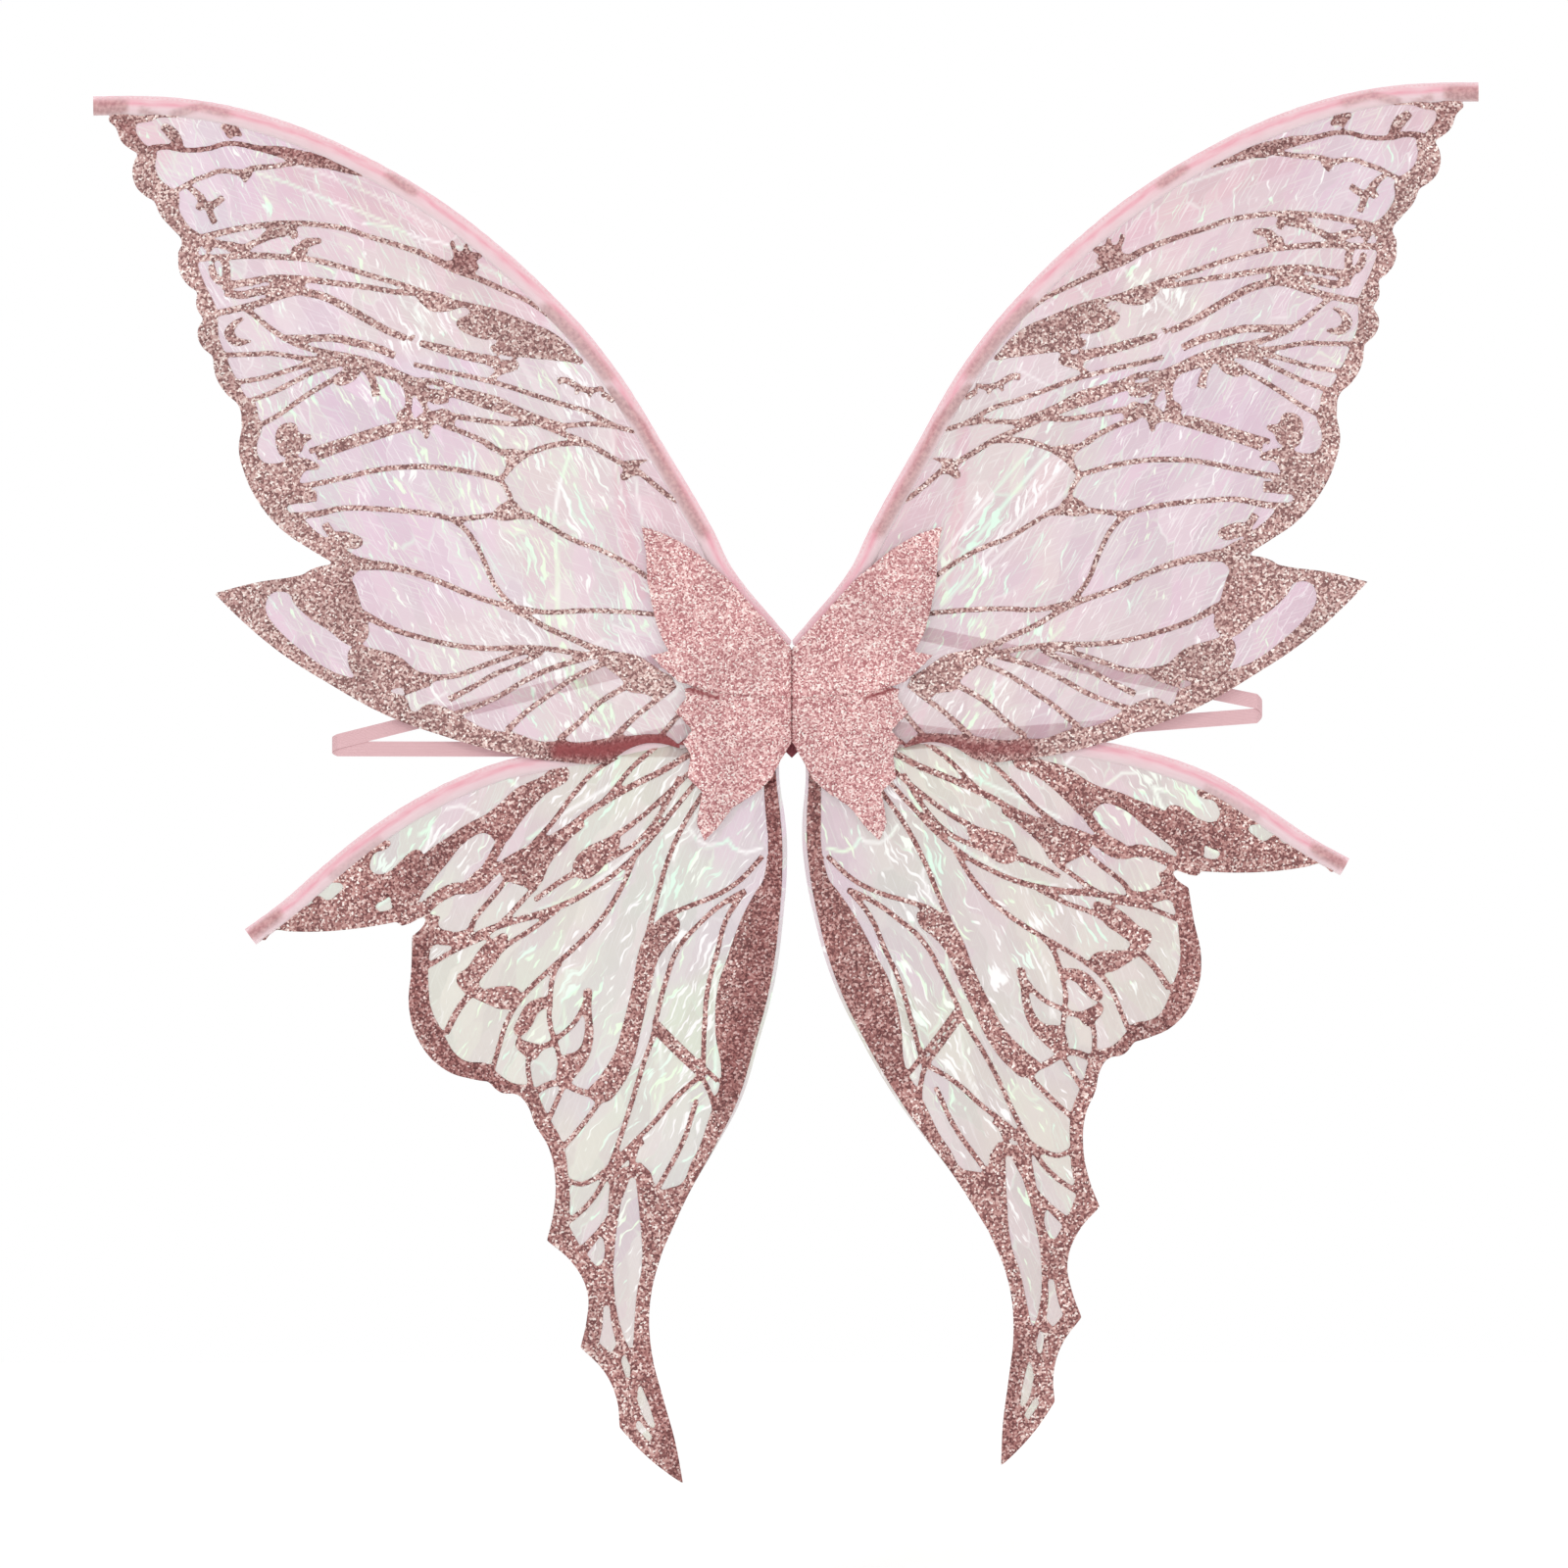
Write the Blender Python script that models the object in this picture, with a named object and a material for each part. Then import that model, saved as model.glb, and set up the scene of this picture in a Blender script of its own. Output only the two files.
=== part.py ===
"""Fairy wings: two film forewings and two tailed hindwings on spring-wire rods, a glitter pad in two
halves with a sewn fold between them, and two elastic arm loops.

Frame: upright as worn, +Z up, the show side towards -Y, the wearer behind at +Y. The origin is the middle
of the spine tape's back face. Outlines are (x, z) in millimetres, drawn for the left side and mirrored.
"""
import bmesh
import bpy
import math
from mathutils import Matrix, Vector

MM = 0.001
CORNER = True

# Thickness of each layer, as its back and front face in y (mm); the tape's back face is the origin.
TAPE_LAYER = (0.0, -0.8)
STRAP_LAYER = (-0.1, -0.8)
BACK_PAD_LAYER = (-1.1, -1.9)
HIND_MIDDLE = -3.9
FORE_MIDDLE = -6.2
FILM_THICKNESS = 0.4
LATTICE_THICKNESS = 0.4
LAYER_GAP = 0.3
LOWER_LEAF_LAYER = (-8.2, -9.2)
UPPER_LEAF_LAYER = (-9.5, -10.5)
FOLD_AXIS_Y = -10.8

# Wire, casing and rivets (mm).
ROD_RADIUS = 0.9
CASING_HALF_WIDTH = 6.3
CASING_HALF_THICKNESS = 1.7
CASING_FLAP_WALL = 0.5
FILM_EDGE_INSET = 3.0
LATTICE_EDGE_INSET = 7.2
FILM_SETBACK = 8.0
LATTICE_SETBACK = 24.0
EYE_RADIUS = 2.6
EYE_STEP = math.radians(30.0)
RIVET_SHANK_RADIUS = 1.4
RIVET_HEAD_RADIUS = 3.4
RIVET_HEAD_THICKNESS = 0.5
RIVET_STEPS = 16
ROD_CAP_SETBACK = 3.0
ROD_CAP_LENGTH = 5.0

# The casing's section. The bore's wall, as mm out from the bore and out from the film's middle; the round
# of the fold, as shares of the half width and the half thickness.
BORE_LIP = 1.2
BORE_CHAMFER = 0.3
BORE_END = (1.0, 0.5)
FOLD_ROUND = [(0.75, 0.72), (0.3, 1.0), (-0.4, 0.95)]

# The seam, the tape and the arm loops (mm).
SEAM_HALF_GAP = 0.6
TAPE_HALF_WIDTH = 10.0
TAPE_TOP = 24.0
TAPE_SHOULDER = -37.0
TAPE_POINT = -47.0
STRAP_WIDTH = 10.0
STRAP_AXIS_X = 72.0
STRAP_HINGE_GAP = 0.4
TAB_END_GAP = 0.6
TAB_INNER_X = 26.0
LOOP_END_SLANT = 2.0

# How the right wings lie: turned up and out about their rivets (degrees). The film bends near its sewn
# root, so the turn grows with the distance from the rivet and is whole at TURN_REACH (mm). The right
# hindwing is also a little narrower across than the left.
RIGHT_FORE_TURN = 1.2
RIGHT_HIND_TURN = 7.8
TURN_REACH = 250.0
RIGHT_HIND_WIDTH = 0.975

FORE_RIVET = (-15.0, 13.0)
HIND_RIVET = (-18.0, -24.0)

# Middle of each casing, from the wing's tip to its root.
FORE_EDGE = [(-456, 378.5), (-428, 378.8), (-398, 377.2), (-361, 370.8), (-320, 357.8), (-283, 341),
             (-243, 318.3), (-204, 290), (-164.5, 254.5), (-125, 210), (-85.4, 147.8), (-56.5, 98),
             (-46, 76.5), (-34.8, 60.5), (-14.8, 37), (-8, 29)]
HIND_EDGE = [(-353.5, -164), (-331, -147.5), (-301, -121.5), (-271.5, -98), (-242, -79),
             (-212.5, -64.3), (-183, -54), (-150, -47.5), (-110, -39), (-70, -31), (-36, -25)]

# Free edge of the forewing, from under the tip down to the pad: scallops meet at the corners.
FORE_MARGIN = [
    (-441, 364), (-438, 356), (-432, 350.5), (-426.5, 347.5, CORNER), (-430, 340), (-429, 328),
    (-423, 320.5), (-416, 316.5, CORNER), (-412, 307), (-404, 298), (-398, 290), (-400.5, 283, CORNER),
    (-399.5, 270), (-394, 261.5), (-388, 257.5, CORNER), (-388.5, 247), (-384, 239.5, CORNER),
    (-388, 231), (-385, 221.5), (-378, 215.5, CORNER), (-376, 202), (-369, 190.5), (-361, 183),
    (-359, 168, CORNER), (-361, 155), (-358, 141), (-350, 123), (-333, 102), (-314, 89),
    (-298, 79.5, CORNER), (-322, 72), (-350, 67.5), (-377, 60.5, CORNER), (-361, 44.5), (-335, 22.5),
    (-303, 2), (-265, -19), (-228, -32.5), (-185, -44.5), (-150, -49.5), (-122, -50), (-104, -40),
    (-90, -37.2), (-72, -41, CORNER)]
FORE_ROOT = [(-60, -36), (-44, -14), (-30, 6), (-22, 26)]

# Free edge of the hindwing, from under its tip round the tail and up to the pad.
HIND_MARGIN = [
    (-338, -159.5), (-328, -160.3), (-310, -160.5), (-285, -158.5), (-258, -154), (-238, -149.5, CORNER),
    (-241, -157), (-248, -163.5, CORNER), (-248.5, -185), (-250, -210), (-243, -233), (-226, -251),
    (-208, -257), (-198, -258.5, CORNER), (-190, -265.5), (-179, -267), (-172, -275),
    (-168, -286), (-159, -301), (-154.5, -322), (-155.5, -343), (-160, -362, CORNER), (-143, -377),
    (-133.5, -396), (-134, -414), (-138, -432, CORNER), (-122, -448.5), (-114, -467),
    (-112.5, -484, CORNER), (-98, -500), (-80, -515), (-71, -521, CORNER), (-76, -494), (-84, -465),
    (-91.5, -435), (-92.5, -402), (-84, -368), (-68, -333), (-49, -300), (-33, -270), (-21.5, -232),
    (-11.5, -195), (-6, -155), (-3, -112), (-4, -90), (-8, -62), (-9, -48)]
HIND_ROOT = [(-12, -40, CORNER), (-26, -36), (-44, -36.5)]

FORE_CELLS = [
    [(-424, 362), (-395, 368), (-345, 361), (-322, 352), (-350, 354), (-380, 353), (-415, 354)],
    [(-412, 345), (-365, 350), (-335, 344), (-372, 337), (-406, 327)],
    [(-397, 318), (-372, 331), (-318, 338), (-262, 322), (-205, 284), (-172, 256), (-215, 274),
     (-262, 292), (-315, 304), (-385, 297)],
    [(-378, 290), (-315, 298), (-240, 280), (-190, 257), (-235, 261), (-310, 278), (-378, 283)],
    [(-290, 257), (-246, 252), (-216, 240), (-195, 217), (-240, 226), (-285, 243)],
    [(-347, 247), (-325, 253), (-298, 244), (-266, 226), (-300, 230), (-335, 232)],
    [(-352, 165), (-303, 197), (-254, 196), (-254, 176), (-310, 156), (-347, 148)],
    [(-312, 146), (-248, 163), (-192, 146), (-225, 142), (-262, 140), (-318, 133)],
    [(-303, 128), (-250, 137), (-198, 133), (-188, 116), (-225, 114), (-290, 119)],
    [(-314, 107), (-250, 111), (-220, 104), (-199, 68), (-230, 73), (-286, 90)],
    [(-206, 104), (-172, 106), (-125, 88), (-98, 70), (-97, 54), (-150, 52), (-188, 60)],
    [(-183, 138), (-150, 152), (-116, 136), (-92, 128), (-101, 86), (-140, 98), (-176, 118)],
    [(-278, 72), (-225, 64), (-165, 40), (-128, 27), (-200, 28), (-275, 50)],
    [(-342, 57), (-328, 59), (-292, 27), (-290, 11), (-325, 28)],
    [(-178, -28), (-130, 10), (-118, 8), (-84, -8), (-112, -28), (-152, -36)]]

HIND_CELLS = [
    [(-262, -106), (-212, -78), (-190, -72), (-222, -92), (-250, -112)],
    [(-182, -66), (-130, -56), (-92, -48), (-130, -72), (-168, -92), (-172, -74)],
    [(-86, -56), (-74, -60), (-110, -90), (-160, -128), (-150, -108)],
    [(-230, -185), (-215, -168), (-165, -148), (-120, -124), (-111, -126), (-152, -176), (-205, -194),
     (-232, -218)],
    [(-206, -206), (-180, -214), (-194, -242), (-220, -240)],
    [(-144, -190), (-104, -134), (-88, -102), (-98, -150), (-118, -236), (-138, -232)],
    [(-64, -96), (-24, -74), (-22, -104), (-60, -136), (-84, -146)],
    [(-92, -232), (-64, -256), (-100, -296), (-108, -292)],
    [(-88, -218), (-76, -172), (-52, -160), (-56, -232), (-64, -242)],
    [(-140, -292), (-108, -268), (-124, -302), (-142, -318)],
    [(-92, -302), (-64, -264), (-60, -290), (-84, -326)],
    [(-112, -340), (-101, -334), (-104, -424), (-114, -412)]]

UPPER_LEAF = [
    (-98, 104, CORNER), (-84, 99.5), (-66, 89.5), (-48, 75, CORNER), (-40, 68, CORNER), (-20, 46, CORNER),
    (-SEAM_HALF_GAP, 24.5, CORNER), (-SEAM_HALF_GAP, -8, CORNER), (-28, -6), (-57, -3, CORNER),
    (-74, 3, CORNER), (-82, 10, CORNER), (-92, 20, CORNER), (-80, 22.5, CORNER), (-86, 34),
    (-91.5, 54, CORNER), (-94.5, 70, CORNER), (-95, 86, CORNER)]
LOWER_LEAF = [
    (-SEAM_HALF_GAP, 4, CORNER), (-SEAM_HALF_GAP, -40, CORNER), (-8, -50), (-15, -62), (-24, -70, CORNER),
    (-38, -79, CORNER), (-49, -93, CORNER), (-57, -101, CORNER), (-62, -90, CORNER), (-58.5, -69, CORNER),
    (-68, -60, CORNER), (-66, -45, CORNER), (-71, -37, CORNER), (-65, -29, CORNER), (-76, -17, CORNER),
    (-69, -8, CORNER), (-70, -2, CORNER), (-40, 6)]
BACK_PAD = [
    (-SEAM_HALF_GAP, 19, CORNER), (-38, 61, CORNER), (-92, 96, CORNER), (-88, 54, CORNER),
    (-76, 24, CORNER), (-66, 0, CORNER), (-63, -44, CORNER), (-55, -68, CORNER), (-56, -92, CORNER),
    (-36, -74, CORNER), (-8, -44, CORNER), (-SEAM_HALF_GAP, -35, CORNER)]

# Each arm loop: height of its two strands at the hinge, and the middle of its folded outer end.
ARM_LOOPS = {"left": {"upper": 20.0, "lower": -41.5, "end_x": 302.0, "end_upper": -37.5, "end_lower": -41.0},
             "right": {"upper": 37.0, "lower": -37.0, "end_x": 309.0, "end_upper": -11.0, "end_lower": -19.0}}

PALETTE = {
    "iridescent_film": ((0.83, 0.74, 0.82), 0.22, 0.0), "rose_glitter": ((0.46, 0.24, 0.23), 0.45, 0.35),
    "sheer_ribbon": ((0.86, 0.52, 0.56), 0.55, 0.0), "spring_wire": ((0.62, 0.60, 0.58), 0.30, 1.0),
    "clear_vinyl": ((0.80, 0.76, 0.74), 0.40, 0.0), "pink_glitter_leaf": ((0.66, 0.38, 0.38), 0.50, 0.2),
    "pad_lining": ((0.72, 0.45, 0.47), 0.85, 0.0), "pink_elastic": ((0.64, 0.37, 0.40), 0.80, 0.0),
    "dark_red_tape": ((0.27, 0.05, 0.06), 0.80, 0.0), "nickel": ((0.70, 0.68, 0.66), 0.25, 1.0)}


def clear_scene():
    """Remove whatever the file holds."""
    for thing in list(bpy.data.objects):
        bpy.data.objects.remove(thing, do_unlink=True)


def make_material(name):
    """A plain shader with the sub-part's colour, roughness and metallic value."""
    colour, roughness, metallic = PALETTE[name]
    material = bpy.data.materials.new(name)
    material.use_nodes = True
    shader = material.node_tree.nodes["Principled BSDF"]
    shader.inputs["Base Color"].default_value = (*colour, 1.0)
    shader.inputs["Roughness"].default_value = roughness
    shader.inputs["Metallic"].default_value = metallic
    material.diffuse_color = (*colour, 1.0)
    return material


def placed(points, side, turn=0.0, pivot=(0.0, 0.0), width=1.0):
    """Points of one side: the left as drawn, the right mirrored, narrowed and turned up about the pivot."""
    if side == "left":
        return [tuple(point) for point in points]
    centre = Vector((-pivot[0], pivot[1]))
    moved = []
    for point in points:
        arm = Vector((-point[0], point[1])) - centre
        arm.x *= width
        share = min(arm.length / TURN_REACH, 1.0)
        spot = Matrix.Rotation(math.radians(turn * share), 2) @ arm + centre
        moved.append((spot.x, spot.y, *point[2:]))
    return moved


def beside(points, distance):
    """The line that runs the given distance to the left of the way along the points."""
    line = []
    for index, point in enumerate(points):
        before = Vector(points[max(index - 1, 0)][:2])
        after = Vector(points[min(index + 1, len(points) - 1)][:2])
        along = (after - before).normalized()
        line.append((point[0] - along.y * distance, point[1] + along.x * distance))
    return line


def straight(points):
    """The same points as corners, so that the outline runs straight between them."""
    return [(*point[:2], CORNER) for point in points]


def add_bezier(curve, points, cyclic):
    """One spline through the points: smooth, with a sharp turn at each corner point."""
    spline = curve.splines.new("BEZIER")
    spline.bezier_points.add(len(points) - 1)
    spline.use_cyclic_u = cyclic
    for knot, point in zip(spline.bezier_points, points):
        knot.co = (point[0] * MM, point[1] * MM, 0.0)
        kind = "VECTOR" if len(point) > 2 else "AUTO"
        knot.handle_left_type = kind
        knot.handle_right_type = kind


def upright(y_middle):
    """Turn that stands a flat curve up in the XZ plane, at a depth in millimetres."""
    return Matrix.Translation((0.0, y_middle * MM, 0.0)) @ Matrix.Rotation(math.pi / 2, 4, "X")


def as_mesh(curve, name, material, place, collection, parent):
    """Change a curve into a welded mesh object whose origin is its parent's."""
    draft = bpy.data.objects.new(name + "_draft", curve)
    collection.objects.link(draft)
    draft.matrix_world = place
    bpy.context.view_layer.update()
    evaluated = draft.evaluated_get(bpy.context.evaluated_depsgraph_get())
    mesh = bpy.data.meshes.new_from_object(evaluated)
    bpy.data.objects.remove(draft, do_unlink=True)
    origin = parent.matrix_world.translation.copy()
    mesh.transform(Matrix.Translation(-origin) @ place)
    return finish_mesh(mesh, name, material, collection, parent)


def finish_mesh(mesh, name, material, collection, parent):
    """Weld the mesh, turn its faces out and put it in the scene under its parent."""
    shape = bmesh.new()
    shape.from_mesh(mesh)
    bmesh.ops.remove_doubles(shape, verts=shape.verts, dist=0.00002)
    bmesh.ops.recalc_face_normals(shape, faces=shape.faces)
    shape.to_mesh(mesh)
    shape.free()
    mesh.name = name
    mesh.materials.clear()
    mesh.materials.append(material)
    thing = bpy.data.objects.new(name, mesh)
    collection.objects.link(thing)
    thing.parent = parent
    return thing


def sheet(name, outline, layer, material, collection, parent, holes=()):
    """A flat piece of even thickness: its outline, less its holes."""
    back, front = layer
    curve = bpy.data.curves.new(name, "CURVE")
    curve.dimensions = "2D"
    curve.fill_mode = "BOTH"
    curve.extrude = (back - front) / 2 * MM
    curve.resolution_u = 2
    add_bezier(curve, outline, True)
    for hole in holes:
        add_bezier(curve, hole, True)
    return as_mesh(curve, name, material, upright((back + front) / 2), collection, parent)


def wire(name, route, radius, y_middle, material, collection, parent):
    """A round wire along a flat route, with closed ends."""
    curve = bpy.data.curves.new(name, "CURVE")
    curve.dimensions = "3D"
    curve.bevel_depth = radius * MM
    curve.bevel_resolution = 1
    curve.resolution_u = 2
    curve.use_fill_caps = True
    add_bezier(curve, route, False)
    return as_mesh(curve, name, material, upright(y_middle), collection, parent)


def casing_profile(cutters):
    """Section of the folded ribbon: closed on its outer side, open on the film's side."""
    wide = CASING_HALF_WIDTH
    thick = CASING_HALF_THICKNESS
    bore = ROD_RADIUS + LAYER_GAP
    slot = FILM_THICKNESS / 2 + LAYER_GAP
    upper = [(-wide, slot), (-bore - BORE_LIP, slot), (-bore - BORE_CHAMFER, bore),
             (bore + BORE_CHAMFER, bore), (bore + BORE_END[0], BORE_END[1])]
    outer = [(wide, 0.0), *((wide * across, thick * depth) for across, depth in FOLD_ROUND),
             (-wide, slot + CASING_FLAP_WALL)]
    lower = [(across, -depth) for across, depth in reversed(upper)]
    under = [(across, -depth) for across, depth in reversed(outer[1:])]
    curve = bpy.data.curves.new("casing_profile", "CURVE")
    curve.dimensions = "2D"
    spline = curve.splines.new("POLY")
    loop = lower + under + outer[:1] + outer[1:] + upper
    spline.points.add(len(loop) - 1)
    spline.use_cyclic_u = True
    for point, (across, depth) in zip(spline.points, loop):
        point.co = (across * MM, depth * MM, 0.0, 1.0)
    guide = bpy.data.objects.new("casing_profile", curve)
    guide.hide_render = True
    guide.display_type = "WIRE"
    cutters.objects.link(guide)
    return guide


def casing(name, side, route, y_middle, profile, material, collection, parent):
    """The folded ribbon along a leading edge. Its route runs so that the open side is towards the film."""
    curve = bpy.data.curves.new(name, "CURVE")
    curve.dimensions = "2D"
    curve.fill_mode = "NONE"
    curve.resolution_u = 2
    curve.bevel_mode = "OBJECT"
    curve.bevel_object = profile
    curve.use_fill_caps = True
    add_bezier(curve, route if side == "right" else list(reversed(route)), False)
    return as_mesh(curve, name, material, upright(y_middle), collection, parent)


def rivet(name, centre, front, material, collection, parent):
    """A turned rivet along Y: a head in front of the wire's eye and a head behind the back pad."""
    front_inner = front + RIVET_HEAD_THICKNESS
    rear_inner = BACK_PAD_LAYER[0] + LAYER_GAP
    rear = rear_inner + RIVET_HEAD_THICKNESS
    steps = [(0.0, front), (RIVET_HEAD_RADIUS, front), (RIVET_HEAD_RADIUS, front_inner),
             (RIVET_SHANK_RADIUS, front_inner), (RIVET_SHANK_RADIUS, rear_inner),
             (RIVET_HEAD_RADIUS, rear_inner), (RIVET_HEAD_RADIUS, rear), (0.0, rear)]
    origin = parent.matrix_world.translation
    middle = Vector((centre[0] * MM, 0.0, centre[1] * MM)) - origin
    shape = bmesh.new()
    verts = [shape.verts.new(middle + Vector((radius * MM, depth * MM, 0.0))) for radius, depth in steps]
    edges = [shape.edges.new(pair) for pair in zip(verts, verts[1:])]
    bmesh.ops.spin(shape, geom=verts + edges, cent=middle, axis=(0, 1, 0), angle=math.tau,
                   steps=RIVET_STEPS, use_merge=True)
    mesh = bpy.data.meshes.new(name)
    shape.to_mesh(mesh)
    shape.free()
    return finish_mesh(mesh, name, material, collection, parent)


def ring(centre, radius, first=0.0, last=-math.tau + EYE_STEP):
    """Points round a circle, going clockwise from the first angle to the last."""
    count = round((first - last) / EYE_STEP)
    angles = [first - EYE_STEP * index for index in range(count + 1)]
    return [(centre[0] + radius * math.cos(angle), centre[1] + radius * math.sin(angle)) for angle in angles]


def toward(start, end, distance):
    """The point a distance along the way from start to end."""
    way = (Vector(end) - Vector(start)).normalized()
    return tuple(Vector(start) + way * distance)


def closed_by_edge(margin, edge, inset, setback, stop):
    """A wing's outline: its free margin, closed along a line that runs inset from the casing's middle."""
    line = beside(edge, -inset)
    corner = (*toward(line[0], line[1], setback), CORNER)
    return [*margin, *reversed(line[1:stop]), corner]


def wing(side, kind, edge, film_outline, lattice_outline, cells, eye, lie, y_middle, kit):
    """Film, lattice, casing, rod and rod cap of one wing."""
    materials, collection, profile, parent = kit
    half_film = FILM_THICKNESS / 2
    front = y_middle - half_film - LAYER_GAP
    label = f"{side}_{kind}"

    def put(points):
        return placed(points, side, *lie)

    sheet(f"{label}_film", put(film_outline), (y_middle + half_film, y_middle - half_film),
          materials["iridescent_film"], collection, parent)
    sheet(f"{label}_lattice", put(lattice_outline), (front, front - LATTICE_THICKNESS),
          materials["rose_glitter"], collection, parent, [put(straight(cell)) for cell in cells])
    casing(f"{label}_casing", side, put(edge), y_middle, profile, materials["sheer_ribbon"], collection, parent)
    cap_start = toward(edge[0], edge[1], ROD_CAP_SETBACK)
    cap_end = toward(edge[0], edge[1], ROD_CAP_SETBACK + ROD_CAP_LENGTH)
    rod_start = toward(edge[0], edge[1], ROD_CAP_SETBACK + ROD_CAP_LENGTH + LAYER_GAP)
    wire(f"{label}_rod_cap", put([cap_start, cap_end]), ROD_RADIUS, y_middle, materials["clear_vinyl"],
         collection, parent)
    wire(f"{label}_rod", put([rod_start, *edge[1:], *eye]), ROD_RADIUS, y_middle, materials["spring_wire"],
         collection, parent)


def strand_line(loop, strand, x, offset):
    """Height of a strand's edge at a distance x from the seam; the offset is across the strand."""
    slope = (loop["end_" + strand] - loop[strand]) / (loop["end_x"] - STRAP_AXIS_X)
    return loop[strand] + slope * (x - STRAP_AXIS_X) + offset * math.hypot(1.0, slope)


def strap(side, loop, materials, collection, half, swing):
    """The folded elastic loop on its hinge, and its two ends sewn on the pad."""
    across = STRAP_WIDTH / 2
    root = STRAP_AXIS_X + STRAP_HINGE_GAP
    end = loop["end_x"]
    closing = (strand_line(loop, "upper", root, -across) - strand_line(loop, "lower", root, across))
    at_end = (strand_line(loop, "upper", end, -across) - strand_line(loop, "lower", end, across))
    fork = root + (end - root) * closing / (closing - at_end)
    corners = [(root, strand_line(loop, "upper", root, across)), (end, strand_line(loop, "upper", end, across)),
               (end - LOOP_END_SLANT, strand_line(loop, "lower", end, -across)),
               (root, strand_line(loop, "lower", root, -across)),
               (root, strand_line(loop, "lower", root, across)),
               (fork, strand_line(loop, "lower", fork, across)),
               (root, strand_line(loop, "upper", root, -across))]
    sign = -1.0 if side == "left" else 1.0
    outline = [(sign * x, z, CORNER) for x, z in corners]
    sheet(f"{side}_strap", outline, STRAP_LAYER, materials["pink_elastic"], collection, swing)
    for strand in ("upper", "lower"):
        ends = [(STRAP_AXIS_X - TAB_END_GAP, across), (STRAP_AXIS_X - TAB_END_GAP, -across),
                (TAB_INNER_X, -across), (TAB_INNER_X, across)]
        tab = [(sign * x, strand_line(loop, strand, x, offset), CORNER) for x, offset in ends]
        sheet(f"{side}_strap_tab_{strand}", tab, STRAP_LAYER, materials["pink_elastic"], collection, half)


def pad(side, materials, collection, half):
    """The two front leaves and the lining of one half of the centre pad, with its two rivets."""
    sheet(f"{side}_upper_leaf", placed(UPPER_LEAF, side), UPPER_LEAF_LAYER, materials["pink_glitter_leaf"],
          collection, half)
    sheet(f"{side}_lower_leaf", placed(LOWER_LEAF, side), LOWER_LEAF_LAYER, materials["pink_glitter_leaf"],
          collection, half)
    spots = {"forewing": (FORE_RIVET, FORE_MIDDLE), "hindwing": (HIND_RIVET, HIND_MIDDLE)}
    clearance = RIVET_SHANK_RADIUS + LAYER_GAP
    holes = [placed(ring(centre, clearance), side) for centre, depth in spots.values()]
    sheet(f"{side}_back_pad", placed(BACK_PAD, side), BACK_PAD_LAYER, materials["pad_lining"], collection, half,
          holes)
    for kind, (centre, depth) in spots.items():
        front = depth - ROD_RADIUS - LAYER_GAP - RIVET_HEAD_THICKNESS
        rivet(f"{side}_{kind}_rivet", placed([centre], side)[0], front, materials["nickel"], collection, half)


def axis_empty(name, spot, collection, parent=None):
    """An empty on a joint's axis, for the pieces that turn about it."""
    empty = bpy.data.objects.new(name, None)
    empty.empty_display_size = 0.02
    collection.objects.link(empty)
    world = Vector(spot) * MM
    empty.parent = parent
    empty.location = world - parent.matrix_world.translation if parent else world
    bpy.context.view_layer.update()
    return empty


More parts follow.
